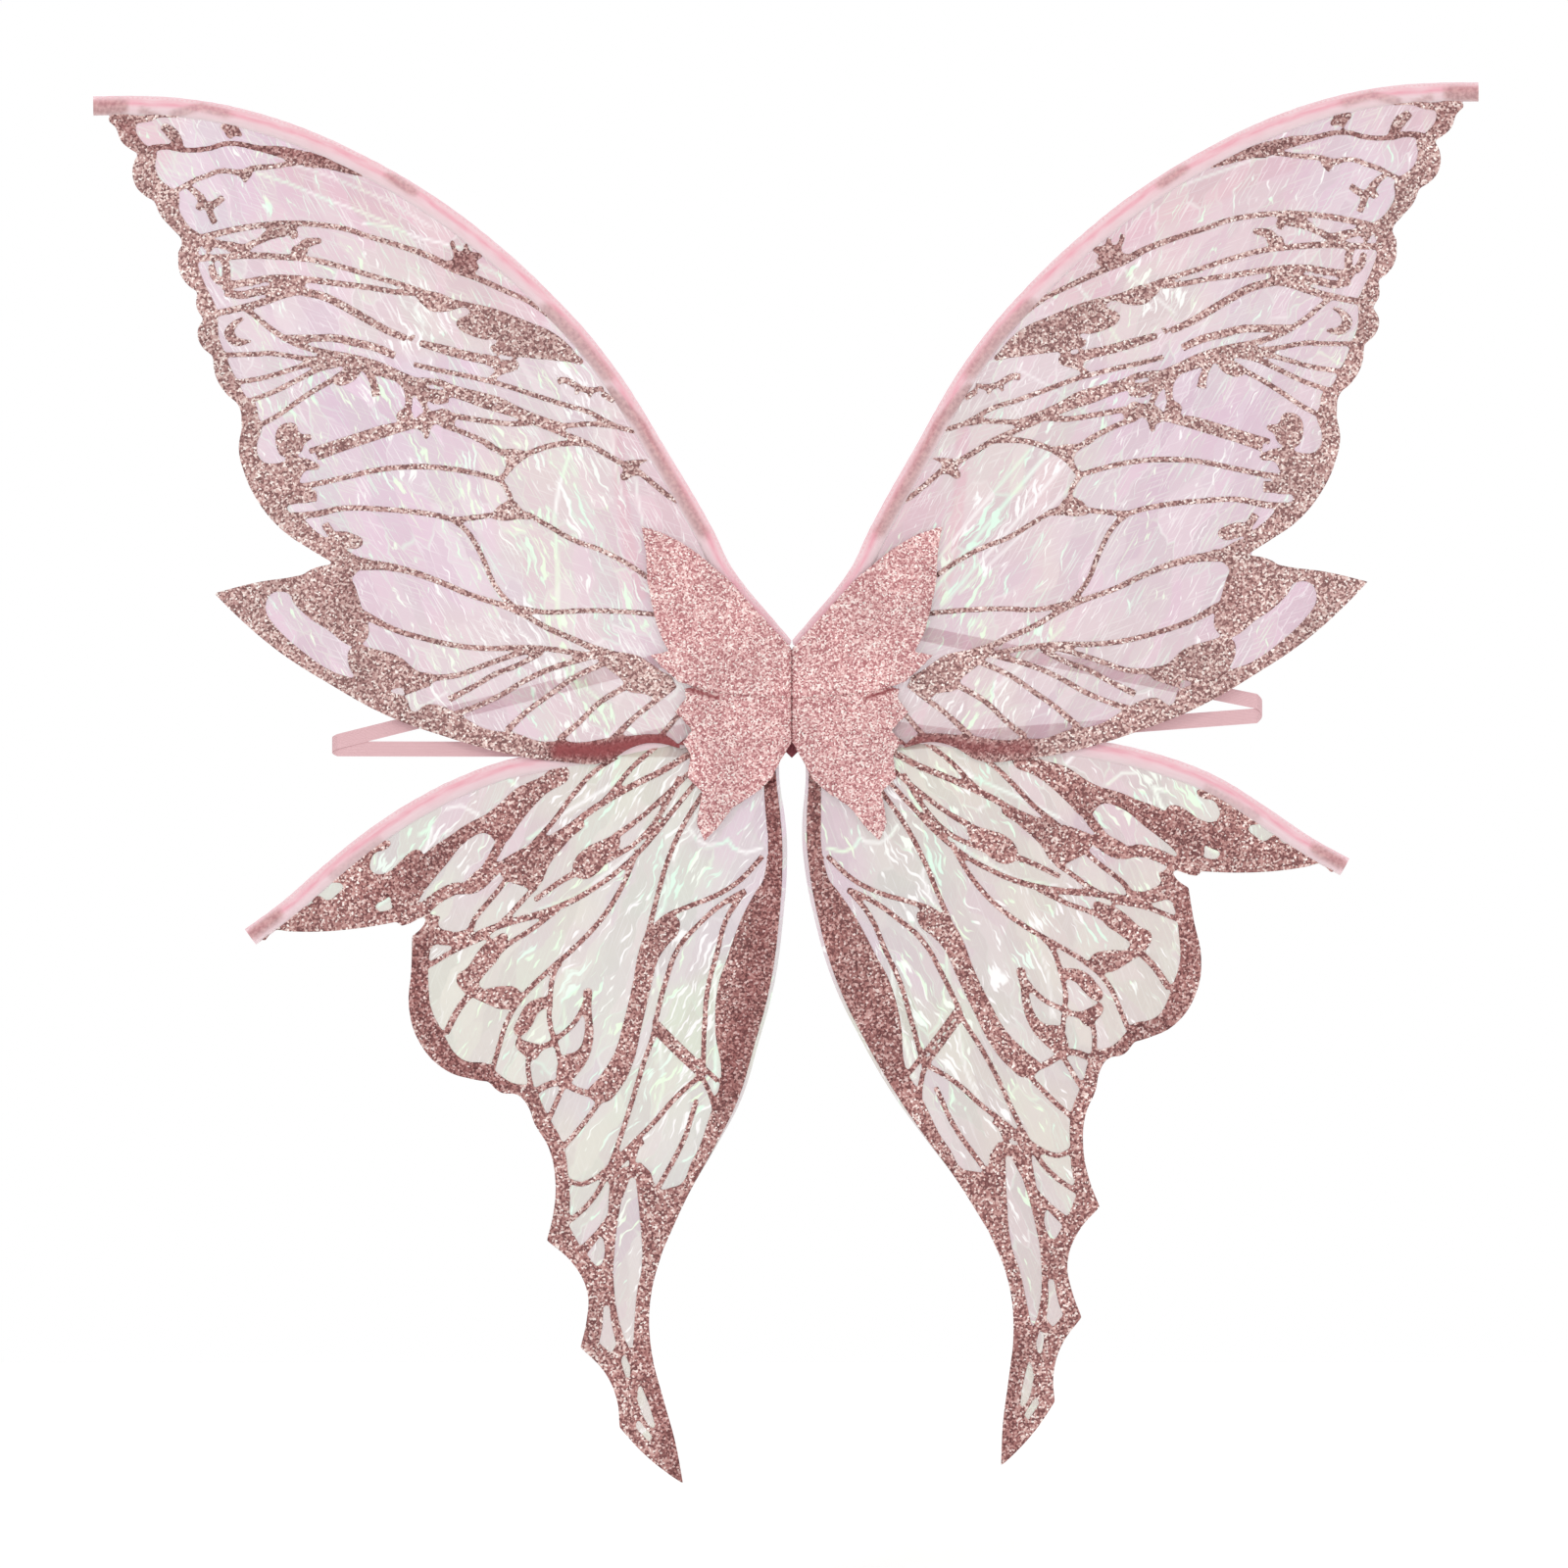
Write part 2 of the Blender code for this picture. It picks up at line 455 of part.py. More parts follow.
def build():
    """Make every sub-part of the wings."""
    clear_scene()
    collection = bpy.data.collections.new("fairy_wings")
    cutters = bpy.data.collections.new("guides")
    bpy.context.scene.collection.children.link(collection)
    bpy.context.scene.collection.children.link(cutters)
    materials = {name: make_material(name) for name in PALETTE}
    profile = casing_profile(cutters)

    spine = axis_empty("spine_origin", (0, 0, 0), collection)
    tape = [(-TAPE_HALF_WIDTH, TAPE_TOP), (TAPE_HALF_WIDTH, TAPE_TOP), (TAPE_HALF_WIDTH, TAPE_SHOULDER),
            (0, TAPE_POINT), (-TAPE_HALF_WIDTH, TAPE_SHOULDER)]
    sheet("spine_tape", straight(tape), TAPE_LAYER, materials["dark_red_tape"], collection, spine)

    fore_margin = FORE_MARGIN + FORE_ROOT
    hind_margin = HIND_MARGIN + HIND_ROOT
    fore_film = closed_by_edge(fore_margin, FORE_EDGE, FILM_EDGE_INSET, FILM_SETBACK, -2)
    fore_lattice = closed_by_edge(fore_margin, FORE_EDGE, LATTICE_EDGE_INSET, LATTICE_SETBACK, -2)
    hind_film = closed_by_edge(hind_margin, HIND_EDGE, FILM_EDGE_INSET, FILM_SETBACK, -1)
    hind_lattice = closed_by_edge(hind_margin[1:], HIND_EDGE, LATTICE_EDGE_INSET, LATTICE_SETBACK, -1)
    fore_eye = [(-7.4, 23), (-10.6, 18), *ring(FORE_RIVET, EYE_RADIUS, 0.0, -1.5 * math.pi)]
    hind_eye = ring(HIND_RIVET, EYE_RADIUS, math.pi / 2, -math.pi)

    for side in ("left", "right"):
        sign = -1.0 if side == "left" else 1.0
        half = axis_empty(f"{side}_half_axis", (0, FOLD_AXIS_Y, 0), collection)
        hind_spot = (sign * -HIND_RIVET[0], HIND_MIDDLE, HIND_RIVET[1])
        hind = axis_empty(f"{side}_hindwing_axis", hind_spot, collection, half)
        strap_spot = (sign * STRAP_AXIS_X, sum(STRAP_LAYER) / 2, 0)
        swing = axis_empty(f"{side}_strap_axis", strap_spot, collection, half)
        fore_lie = (RIGHT_FORE_TURN, FORE_RIVET)
        hind_lie = (RIGHT_HIND_TURN, HIND_RIVET, RIGHT_HIND_WIDTH)
        wing(side, "forewing", FORE_EDGE, fore_film, fore_lattice, FORE_CELLS, fore_eye, fore_lie,
             FORE_MIDDLE, (materials, collection, profile, half))
        wing(side, "hindwing", HIND_EDGE, hind_film, hind_lattice, HIND_CELLS, hind_eye, hind_lie,
             HIND_MIDDLE, (materials, collection, profile, hind))
        pad(side, materials, collection, half)
        strap(side, ARM_LOOPS[side], materials, collection, half, swing)


build()
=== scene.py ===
"""Fairy wings, dressed for a studio picture: iridescent film with glitter print, sheer ribbon sleeves over
spring wire, glitter leaves at the middle, elastic arm loops and a sewn back.

Outlines are (x, z) in millimetres for the left side, as the maker's pattern has them. The right side is the
same pattern turned over, and lies a little higher and further out.
"""
import math
import random

import bmesh
import bpy
import numpy as np
from mathutils import Matrix, Vector, noise


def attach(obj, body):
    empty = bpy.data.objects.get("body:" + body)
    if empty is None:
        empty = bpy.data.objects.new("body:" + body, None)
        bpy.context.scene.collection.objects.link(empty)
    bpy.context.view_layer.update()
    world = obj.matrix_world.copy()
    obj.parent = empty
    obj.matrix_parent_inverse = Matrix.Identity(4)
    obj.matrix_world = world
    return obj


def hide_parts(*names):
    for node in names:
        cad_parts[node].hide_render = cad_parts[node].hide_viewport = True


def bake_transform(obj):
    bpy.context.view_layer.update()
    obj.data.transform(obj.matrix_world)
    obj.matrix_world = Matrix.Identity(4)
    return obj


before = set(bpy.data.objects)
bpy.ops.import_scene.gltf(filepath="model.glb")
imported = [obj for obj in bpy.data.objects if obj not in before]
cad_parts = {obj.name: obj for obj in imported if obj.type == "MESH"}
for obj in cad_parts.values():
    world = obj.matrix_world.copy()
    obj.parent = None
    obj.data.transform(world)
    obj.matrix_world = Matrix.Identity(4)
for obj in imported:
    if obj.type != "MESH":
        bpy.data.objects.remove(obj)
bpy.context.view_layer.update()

MM = 0.001

# ------------------------------------------------------------------ camera
camera_data = bpy.data.cameras.new("camera")
camera_data.lens = 211.0
camera_data.sensor_width = 36.0
camera_data.clip_end = 60.0
camera = bpy.data.objects.new("camera", camera_data)
bpy.context.scene.collection.objects.link(camera)
camera.location = (-0.0051, -6.006, -0.064)
camera.rotation_euler = (math.pi / 2, 0.0, 0.0)
bpy.context.scene.camera = camera

# ------------------------------------------------------------------ pattern
CORNER = "corner"
FORE_RIVET = (-15.0, 13.0)
HIND_RIVET = (-18.0, -24.0)
TURN_REACH = 250.0
# How each right wing lies against the left pattern: turn in degrees, pivot, width.
LIE = {"forewing": (1.2, FORE_RIVET, 1.0), "hindwing": (7.8, HIND_RIVET, 0.975)}
MIDDLE = {"forewing": -6.2, "hindwing": -3.9}
FILM_EDGE_INSET = 3.0
FILM_SETBACK = 8.0

FORE_EDGE = [(-456, 378.5), (-428, 378.8), (-398, 377.2), (-361, 370.8), (-320, 357.8), (-283, 341),
             (-243, 318.3), (-204, 290), (-164.5, 254.5), (-125, 210), (-85.4, 147.8), (-56.5, 98),
             (-46, 76.5), (-34.8, 60.5), (-14.8, 37), (-8, 29)]
HIND_EDGE = [(-353.5, -164), (-331, -147.5), (-301, -121.5), (-271.5, -98), (-242, -79),
             (-212.5, -64.3), (-183, -54), (-150, -47.5), (-110, -39), (-70, -31), (-36, -25)]
C = CORNER
FORE_SCALLOPS = [
    (-441, 364), (-438, 356), (-432, 350.5), (-426.5, 347.5, C), (-430, 340), (-429, 328),
    (-423, 320.5), (-416, 316.5, C), (-412, 307), (-404, 298), (-398, 290), (-400.5, 283, C),
    (-399.5, 270), (-394, 261.5), (-388, 257.5, C), (-388.5, 247), (-384, 239.5, C),
    (-388, 231), (-385, 221.5), (-378, 215.5, C), (-376, 202), (-369, 190.5), (-361, 183),
    (-359, 168, C), (-361, 155), (-358, 141), (-350, 123), (-333, 102), (-314, 89), (-298, 79.5, C)]
FORE_LOBE = [
    (-322, 72), (-350, 67.5), (-377, 60.5, C), (-361, 44.5), (-335, 22.5),
    (-303, 2), (-265, -19), (-228, -32.5), (-185, -44.5), (-150, -49.5), (-122, -50), (-104, -40),
    (-90, -37.2), (-72, -41, C)]
FORE_ROOT = [(-60, -36), (-44, -14), (-30, 6), (-22, 26)]
HIND_TIP_FOOT = [(-338, -159.5), (-328, -160.3), (-310, -160.5), (-285, -158.5), (-258, -154),
                 (-238, -149.5, C)]
HIND_LOBES = [
    (-241, -157), (-248, -163.5, C), (-248.5, -185), (-250, -210), (-243, -233), (-226, -251),
    (-208, -257), (-198, -258.5, C), (-190, -265.5), (-179, -267), (-172, -275),
    (-168, -286), (-159, -301), (-154.5, -322), (-155.5, -343), (-160, -362, C)]
HIND_TAIL_OUT = [(-143, -377), (-133.5, -396), (-134, -414), (-138, -432, C), (-122, -448.5), (-114, -467),
                 (-112.5, -484, C), (-98, -500), (-80, -515), (-71, -521, C)]
HIND_TAIL_IN = [(-76, -494), (-84, -465), (-91.5, -435), (-92.5, -402), (-84, -368)]
HIND_INNER = [(-68, -333), (-49, -300), (-33, -270), (-21.5, -232),
              (-11.5, -195), (-6, -155), (-3, -112), (-4, -90), (-8, -62), (-9, -48)]
HIND_ROOT = [(-12, -40, C), (-26, -36), (-44, -36.5)]

# Glitter print of the forewing: filled shapes, then lines. A line's third number is its width.
FORE_SHAPES = [
    [(-446, 371), *FORE_SCALLOPS, (-275, 82), (-282, 84), (-290, 88), (-298, 91), (-305, 97), (-312, 102),
     (-318, 108), (-328, 113), (-330, 120), (-330, 128), (-322, 133), (-318, 140), (-308, 143),
     (-313, 147), (-322, 149), (-340, 145), (-347, 148), (-349, 158), (-346, 168), (-348, 175),
     (-350, 184), (-357, 190), (-361, 198), (-365, 205), (-370, 217), (-374, 228), (-375, 243),
     (-377, 250), (-383, 262), (-388, 279), (-385.5, 293.6), (-392, 298.7), (-397, 305), (-400, 311.5),
     (-400, 320.5), (-402, 323), (-412.4, 330.8), (-415.6, 339.7), (-415, 348.7), (-422.7, 354),
     (-428, 361.5), (-429, 371)],
    [(-298, 79.5, C), *FORE_LOBE, (-80, -33.5), (-90, -31.5), (-105, -32.5), (-120, -34), (-140, -37),
     (-148, -36), (-165, -36), (-180, -31), (-200, -28), (-215, -20), (-226, -14), (-238, -12),
     (-247, -17), (-252, -8), (-262, -4), (-283, 4, C), (-290, 6), (-300, 9.5), (-320, 23),
     (-338, 40), (-343, 48), (-343, 55), (-340, 60), (-330, 61), (-326, 58, C), (-318, 66)],
    [(-320, 72), (-327, 60), (-318, 47), (-302, 36), (-290, 27), (-285, 26), (-279, 29), (-276, 35),
     (-280, 49), (-285, 65), (-287, 70), (-283, 77), (-298, 79.5)],
    [(-290, 20), (-287, 25), (-270, 23.5), (-256, 19), (-245, 10), (-232, 5), (-237, 1), (-255, -1),
     (-270, -3), (-280, 0), (-284, 4)],
    [(-337, 163), (-336, 167), (-332, 171), (-324, 171), (-321, 165), (-313, 163), (-318, 158),
     (-320, 153), (-325, 150), (-333, 150), (-336, 155)],
    [(-245, 256), (-232, 257), (-222, 253), (-200, 248), (-190, 245), (-180, 241), (-170, 237),
     (-160, 233), (-152, 228), (-145, 222), (-140, 216), (-136, 211), (-145, 211.5), (-160, 213),
     (-175, 214.5), (-188, 216), (-197, 221), (-192, 225), (-200, 226), (-210, 229), (-217, 233),
     (-219, 237), (-217, 240), (-212, 242), (-210, 245), (-228, 244), (-236, 245), (-241, 249),
     (-244, 252)],
    [(-222, 291), (-218, 284), (-215, 284), (-213, 289), (-210, 284), (-202, 281), (-206, 277),
     (-204, 273), (-213, 270), (-220, 271), (-227, 276), (-221, 279)],
    [(-373, 366), (-370, 361), (-368, 358), (-363, 359), (-359, 359), (-361, 364), (-362, 367),
     (-369, 367)],
    [(-362, 335, C), (-357, 328, C), (-352, 334, C), (-355, 337, C)],
    [(-300, 200), (-295, 205), (-288, 208), (-282, 206), (-284, 201), (-290, 197), (-296, 196)],
    [(-258, 177), (-254, 171), (-248, 173), (-249, 180)],
    [(-246, 173), (-241, 178), (-232, 180), (-226, 181), (-222, 178), (-220, 173), (-222, 168),
     (-227, 168), (-232, 171), (-235, 169), (-239, 161), (-241, 166), (-245, 168)],
    [(-114, 146, C), (-104, 147.5), (-92, 148, C), (-100, 143), (-99, 138), (-104, 137), (-110, 134),
     (-112, 137), (-110, 141)],
    [(-200, 159), (-190, 155), (-180, 154.5), (-172, 151), (-176, 147), (-181, 143), (-184, 140),
     (-186, 144), (-188, 149)],
    [(-189, 119), (-181, 120.5), (-176, 115), (-169, 110.5), (-178, 109), (-190, 108), (-196, 110.5),
     (-194, 114.5)],
    [(-302, 98), (-294, 101), (-286, 99), (-280, 95), (-283, 90), (-292, 91), (-299, 94)],
    [(-129, 20), (-118, 22.5), (-108, 21.5), (-100, 19.5), (-92, 14.5), (-85, 9.5), (-77, 4),
     (-81, -3), (-88, -8.5), (-95, -5.5), (-108, -2.5), (-110, 3), (-119, 10.5), (-126, 16.5)],
    [(-205, 215), (-190, 213), (-178, 210), (-190, 203), (-198, 200), (-194, 206), (-200, 210)]]
FORE_LINES = [
    [(-444, 372.4, 4), (-430, 370, 5), (-420, 370.5, 4), (-414, 372.4, 3), (-400, 372.7, 3)],
    [(-411, 366, 5), (-404, 360, 8), (-399, 352, 5)],
    [(-418, 351, 4), (-408, 352, 3.4), (-398, 350, 3), (-380, 351, 3), (-372, 353.5, 3), (-363, 354, 3),
     (-348, 351, 3.4), (-335, 349, 7), (-325, 346.5, 8), (-315, 343.5, 10), (-305, 341.5, 7),
     (-298, 339, 5), (-280, 334, 3)],
    [(-403, 323, 3), (-397, 326, 3), (-390, 330, 3), (-382, 333, 3), (-374, 336, 3), (-366, 336, 3),
     (-361, 335, 4), (-351, 338, 3.4), (-340, 339, 3), (-330, 340.5, 3), (-320, 342.5, 4)],
    [(-394, 326, 3), (-388, 321, 4.5), (-385, 316, 6), (-388, 311, 4)],
    [(-386, 315, 5), (-379, 314, 4.5), (-371, 319, 4)],
    [(-381, 314, 5), (-379, 307, 4), (-376.5, 302, 4)],
    [(-388, 292, 4), (-368, 297, 4), (-348, 300.5, 3.6), (-325, 302, 3.4), (-300, 300, 3.2),
     (-290, 298, 3.2), (-278, 294, 3.2), (-258, 288, 3.2), (-238, 281, 4), (-222, 273, 5),
     (-205, 266, 3.6), (-185, 257, 3.2), (-170, 250, 3), (-156, 240, 3)],
    [(-381, 290, 4), (-366, 287, 6), (-357, 286, 5), (-350, 290, 4)],
    [(-386, 292, 5), (-379, 284, 5)],
    [(-350, 289, 3), (-340, 295, 7), (-333, 297, 8), (-327, 298, 7), (-324, 292, 4)],
    [(-326, 286, 4), (-321, 283, 8), (-318, 288, 7), (-307, 291, 3)],
    [(-388, 279, 4), (-370, 280, 3.6), (-352, 281, 4), (-332, 280, 3.6), (-312, 278, 3.4),
     (-292, 273, 3.2), (-272, 267, 3.2), (-258, 263, 3.2), (-240, 257, 3.2)],
    [(-371, 280, 5), (-369, 272, 5), (-369, 265, 5), (-370, 260, 5)],
    [(-379, 275, 4), (-377, 268, 5), (-373, 263, 5)],
    [(-372, 261, 4.5), (-352, 264, 4.5), (-342, 266, 4.2), (-318, 265.5, 4), (-295, 262.5, 3.6),
     (-275, 260, 3.4), (-258, 257, 3.2), (-243, 256, 3.2)],
    [(-370, 257, 5), (-360, 255, 5), (-350, 257, 5), (-340, 259, 5), (-330, 261, 6), (-318, 262.5, 4)],
    [(-377, 243, 4), (-360, 246.5, 4), (-345, 250.5, 4.4), (-330, 256, 5), (-322, 257.5, 5),
     (-315, 256.5, 5), (-305, 254, 5), (-290, 246.5, 5), (-275, 238, 4.8), (-262, 231, 4.4),
     (-252, 227, 4)],
    [(-358, 247, 3), (-351, 242, 3), (-338, 231.5, 3.4), (-325, 224, 3.6), (-308, 218.5, 3.6),
     (-288, 215, 3.4), (-270, 210, 3.4), (-252, 202, 3.4), (-243, 198.5, 3.4)],
    [(-331, 227, 4), (-311, 227, 4.6), (-298, 227, 5), (-285, 224, 5), (-272, 221, 5), (-259, 215.5, 4.6)],
    [(-358, 240, 1.6), (-364, 236, 4), (-367, 230, 7), (-363, 225, 6), (-353, 225, 1.6)],
    [(-373, 216, 3), (-350, 216.5, 3), (-340, 217, 3), (-320, 214, 3), (-300, 212, 4), (-285, 209, 5),
     (-275, 207, 6), (-265, 203.5, 5), (-250, 199, 4), (-240, 199, 4), (-230, 198, 4), (-220, 194, 4),
     (-200, 189, 4), (-190, 186, 4), (-180, 181, 3.6), (-160, 173, 3.4), (-150, 170, 3.4)],
    [(-252, 199, 3.6), (-240, 193, 3.8), (-220, 190, 3.8), (-200, 183, 3.8), (-180, 177, 3.6),
     (-165, 171, 3.4), (-150, 165, 3.4), (-134, 158.5, 3.4), (-120, 150.5, 3.4), (-112, 146, 3.4)],
    [(-364, 198, 3), (-345, 201, 3), (-325, 207, 3), (-306, 212.5, 3.2)],
    [(-354, 186, 3), (-338, 192, 3), (-322, 200, 3.2), (-308, 207, 3.6), (-292, 211, 4)],
    [(-350, 169, 3), (-338, 175, 3), (-322, 186, 3), (-308, 195, 3.2), (-295, 202, 3.4)],
    [(-278, 207, 4), (-273, 198, 4.6), (-271, 189, 6)],
    [(-257, 200, 3.6), (-252, 195, 4), (-250, 187, 4.4), (-251, 180, 4.4), (-254, 176, 4)],
    [(-250, 198, 3.4), (-246, 192, 3.4), (-242, 187, 3.4), (-237, 177, 3.4)],
    [(-246, 200, 4), (-240, 194, 5.6), (-233, 187, 6), (-224, 186.5, 3)],
    [(-247, 210, 3), (-230, 206, 3), (-215, 203, 3), (-200, 199.5, 3), (-190, 197, 3), (-170, 190.5, 3),
     (-150, 184, 3), (-133, 179, 3), (-120, 172, 3), (-113, 169, 3), (-102, 166, 3)],
    [(-222, 176.5, 3.6), (-200, 173, 3.2), (-182, 171, 3.2), (-165, 172, 3.2), (-150, 170, 3.2),
     (-130, 171, 3), (-112, 169, 3)],
    [(-243, 224, 4), (-225, 219, 6), (-207, 214.5, 6), (-192, 212, 6)],
    [(-249, 228, 4), (-247, 226.5, 5)],
    [(-153, 199, 4.6), (-148, 199.5, 4), (-138, 194.5, 3.6), (-132, 193, 4), (-123, 194.5, 2.4)],
    [(-139, 196, 3), (-141, 190, 2.2)],
    [(-131, 194, 3), (-132, 188, 2.2)],
    [(-124, 191, 3.6), (-116, 186, 3.6)],
    [(-100, 140, 3.4), (-88, 130, 3.2), (-79, 123, 3), (-74, 120, 3)],
    [(-224, 169, 3.4), (-212, 164.5, 3.2), (-199, 158.5, 3.6)],
    [(-173, 151.5, 3.6), (-157, 157, 3.4), (-143, 158.5, 3.4), (-132, 158, 3.4)],
    [(-185, 143, 3.4), (-187, 138, 3.2), (-190, 135, 3.2), (-187, 130, 3), (-184, 124, 3), (-183, 118, 3.2)],
    [(-334, 128, 4), (-310, 132, 3.4), (-290, 136.5, 3.2), (-270, 141, 3.2), (-250, 143, 3.2),
     (-230, 142.5, 3.2), (-210, 139.5, 3.2), (-188, 134, 3.2)],
    [(-334, 111, 4), (-312, 112, 4), (-293, 116, 3.4), (-270, 115.5, 3.2), (-250, 114, 3.2),
     (-230, 111, 3.2), (-222, 109, 3.2), (-207, 110, 3.2), (-193, 112, 3.2)],
    [(-172, 112, 3.2), (-158, 104, 3), (-142, 95, 3), (-128, 90, 3), (-115, 84, 3), (-103, 77, 3),
     (-93, 70, 3)],
    [(-222, 109, 3), (-212, 101, 3), (-202, 84, 3), (-194, 66, 3), (-185, 55, 3), (-175, 47, 3)],
    [(-292, 80, 10), (-280, 79, 7), (-268, 78.5, 5.4), (-250, 75, 4), (-230, 68, 3.6), (-210, 59.5, 3.4),
     (-190, 53, 3.4), (-175, 46.5, 3.4), (-160, 38, 3.4), (-145, 31.5, 3.6), (-130, 25, 4), (-112, 19, 5)],
    [(-181, 51.5, 3.2), (-160, 48, 3), (-140, 49, 3), (-110, 48.5, 3), (-83, 46, 3)],
    [(-280, 47, 5), (-260, 37, 3.4), (-240, 31, 3.2), (-220, 26.5, 3.2), (-200, 24.5, 3.2), (-170, 25, 3.2),
     (-150, 23, 3.2), (-128, 19, 3.4)],
    [(-315, 153, 3.6), (-300, 158, 3.2), (-280, 164.5, 3.2), (-265, 169, 3.2), (-246, 171, 3.6)],
    [(-310, 149, 3.6), (-290, 156, 3.2), (-270, 162.5, 3.2), (-258, 166.5, 3.2), (-246, 170, 3.4)],
    [(-334, 122, 8), (-322, 123, 8), (-310, 124, 7)],
    [(-305, 106, 5), (-301, 100, 5)],
    [(-242, 5, 4), (-218, 7, 3.2), (-202, 13, 3.2), (-182, 20, 3.2), (-168, 24, 3.2)],
    [(-253, -4, 4), (-236, 2, 3.6)],
    [(-224, -9, 4), (-207, 0, 3.2), (-193, 8, 3.2), (-180, 13, 3.2), (-163, 22, 3.2)],
    [(-224, -20, 4), (-205, -13, 3.2), (-190, -6, 3.2), (-175, 3, 3.2), (-158, 11, 3.4), (-132, 19, 3.6)],
    [(-186, -29, 4), (-172, -16, 3.2), (-157, -5, 3.2), (-143, 5, 3.2), (-120, 16, 3.6)],
    [(-152, -35, 4), (-138, -23, 3.2), (-127, -12, 3.2), (-113, -3, 3.6), (-105, 1, 4)],
    [(-117, -35, 4), (-102, -20, 3.2), (-88, -9, 3.4), (-76, 1, 4)],
    [(-73, -18, 3), (-85, -32, 3)],
    [(-52, -23, 3), (-72, -38, 3)]]

# Glitter print of the hindwing.
HIND_SHAPES = [
    [(-346, -166), *HIND_TIP_FOOT, (-244, -144, C), (-255, -144), (-272, -145), (-265, -139), (-257, -132),
     (-245, -118), (-241, -110), (-243, -107), (-250, -109), (-255, -114), (-263, -121), (-270, -123),
     (-275, -120), (-275, -114), (-272, -109), (-266, -107), (-262, -102), (-267, -101), (-275, -105),
     (-283, -110), (-290, -118), (-298, -123), (-302, -127), (-293, -130), (-297, -136), (-303, -140),
     (-310, -137), (-315, -143), (-322, -145), (-338, -158)],
    [(-150, -52), (-165, -60), (-180, -67), (-190, -76), (-200, -84), (-208, -88), (-215, -92),
     (-222, -97), (-238, -108), (-246, -117), (-256, -130), (-262, -140), (-258, -148, C), (-247, -144),
     (-240, -134), (-226, -117), (-212, -101), (-200, -96), (-190, -103), (-178, -90), (-170, -80),
     (-160, -70), (-145, -58)],
    [(-258, -154), (-238, -149.5, C), *HIND_LOBES, (-150, -358), (-146, -348), (-146, -320), (-150, -298),
     (-160, -280), (-170, -262), (-183, -259), (-193, -252), (-198, -247), (-213, -245), (-220, -240),
     (-225, -232), (-228, -226), (-235, -212), (-237, -200), (-235, -168), (-230, -158), (-240, -147)],
    [(-160, -362, C), *HIND_TAIL_OUT, *HIND_TAIL_IN, (-78, -352, C), (-88, -333, C), (-92, -318, C),
     (-99, -311, C), (-110, -315, C), (-119, -322, C), (-120, -345, C), (-128, -356, C), (-138, -366, C),
     (-147, -350, C), (-155, -349, C)],
    [(-84, -368, C), (-68, -333), (-51, -302), (-35.5, -271), (-24, -233), (-14, -195), (-8.5, -155),
     (-6, -112), (-7, -90), (-10, -62), (-11, -46, C), (-19, -46, C), (-18, -70), (-18, -125),
     (-24, -135), (-32, -150), (-38, -165), (-43, -180), (-48, -195), (-50, -225), (-46, -255),
     (-50, -270), (-55, -285), (-60, -300), (-66, -312), (-72, -325), (-80, -328), (-88, -332)],
    [(-190, -122), (-182, -115), (-172, -108), (-152, -98), (-136, -88), (-145, -100), (-158, -116),
     (-165, -130), (-170, -132), (-178, -130), (-186, -127)],
    [(-115, -97), (-120, -99), (-127, -102), (-135, -106), (-142, -114), (-143, -120), (-140, -125),
     (-134, -126), (-127, -122), (-121, -115), (-115, -108), (-112, -101)],
    [(-186, -162), (-190, -170), (-191, -177), (-200, -188), (-204, -196), (-190, -196), (-180, -197),
     (-177, -203), (-181, -209), (-190, -211), (-198, -208), (-207, -204), (-214, -200), (-219, -190),
     (-212, -184), (-203, -171), (-195, -165)],
    [(-158, -204), (-166, -204), (-173, -208), (-178, -216), (-181, -227), (-176, -228), (-170, -222),
     (-166, -214), (-158, -207)],
    [(-180, -231), (-172, -243), (-168, -244), (-163, -238), (-155, -233), (-165, -234), (-173, -232)],
    [(-133, -197), (-131, -210), (-131, -238), (-142, -256), (-149, -262), (-151, -243), (-140, -238),
     (-136, -230), (-135, -215)],
    [(-75, -151), (-84, -153), (-94, -160), (-99, -170), (-104, -195), (-110, -220), (-116, -240),
     (-126, -256), (-133, -266), (-123, -272), (-113, -264), (-104, -247), (-98, -222), (-92, -197),
     (-87, -178), (-80, -168), (-74, -161)]]
HIND_HOLES = [
    [(-108, -321, C), (-102, -321, C), (-99.5, -345), (-98, -380), (-101, -395), (-103, -420), (-104, -436, C),
     (-110, -424), (-116, -395), (-115, -360), (-112, -340)],
    [(-134, -371, C), (-124, -358, C), (-122, -368), (-124, -378, C), (-128, -379, C)],
    [(-123, -405, C), (-119, -404, C), (-118, -415), (-114.5, -430, C), (-118, -436, C), (-126, -429, C),
     (-124, -420)],
    [(-110, -434, C), (-105.5, -444, C), (-105.5, -453, C), (-108.5, -451, C), (-111.5, -441, C)],
    [(-100, -453, C), (-93, -470), (-88.5, -486, C), (-94, -482), (-101, -466, C)],
    [(-101, -478, C), (-91, -490, C), (-93, -494, C), (-102, -484, C)]]
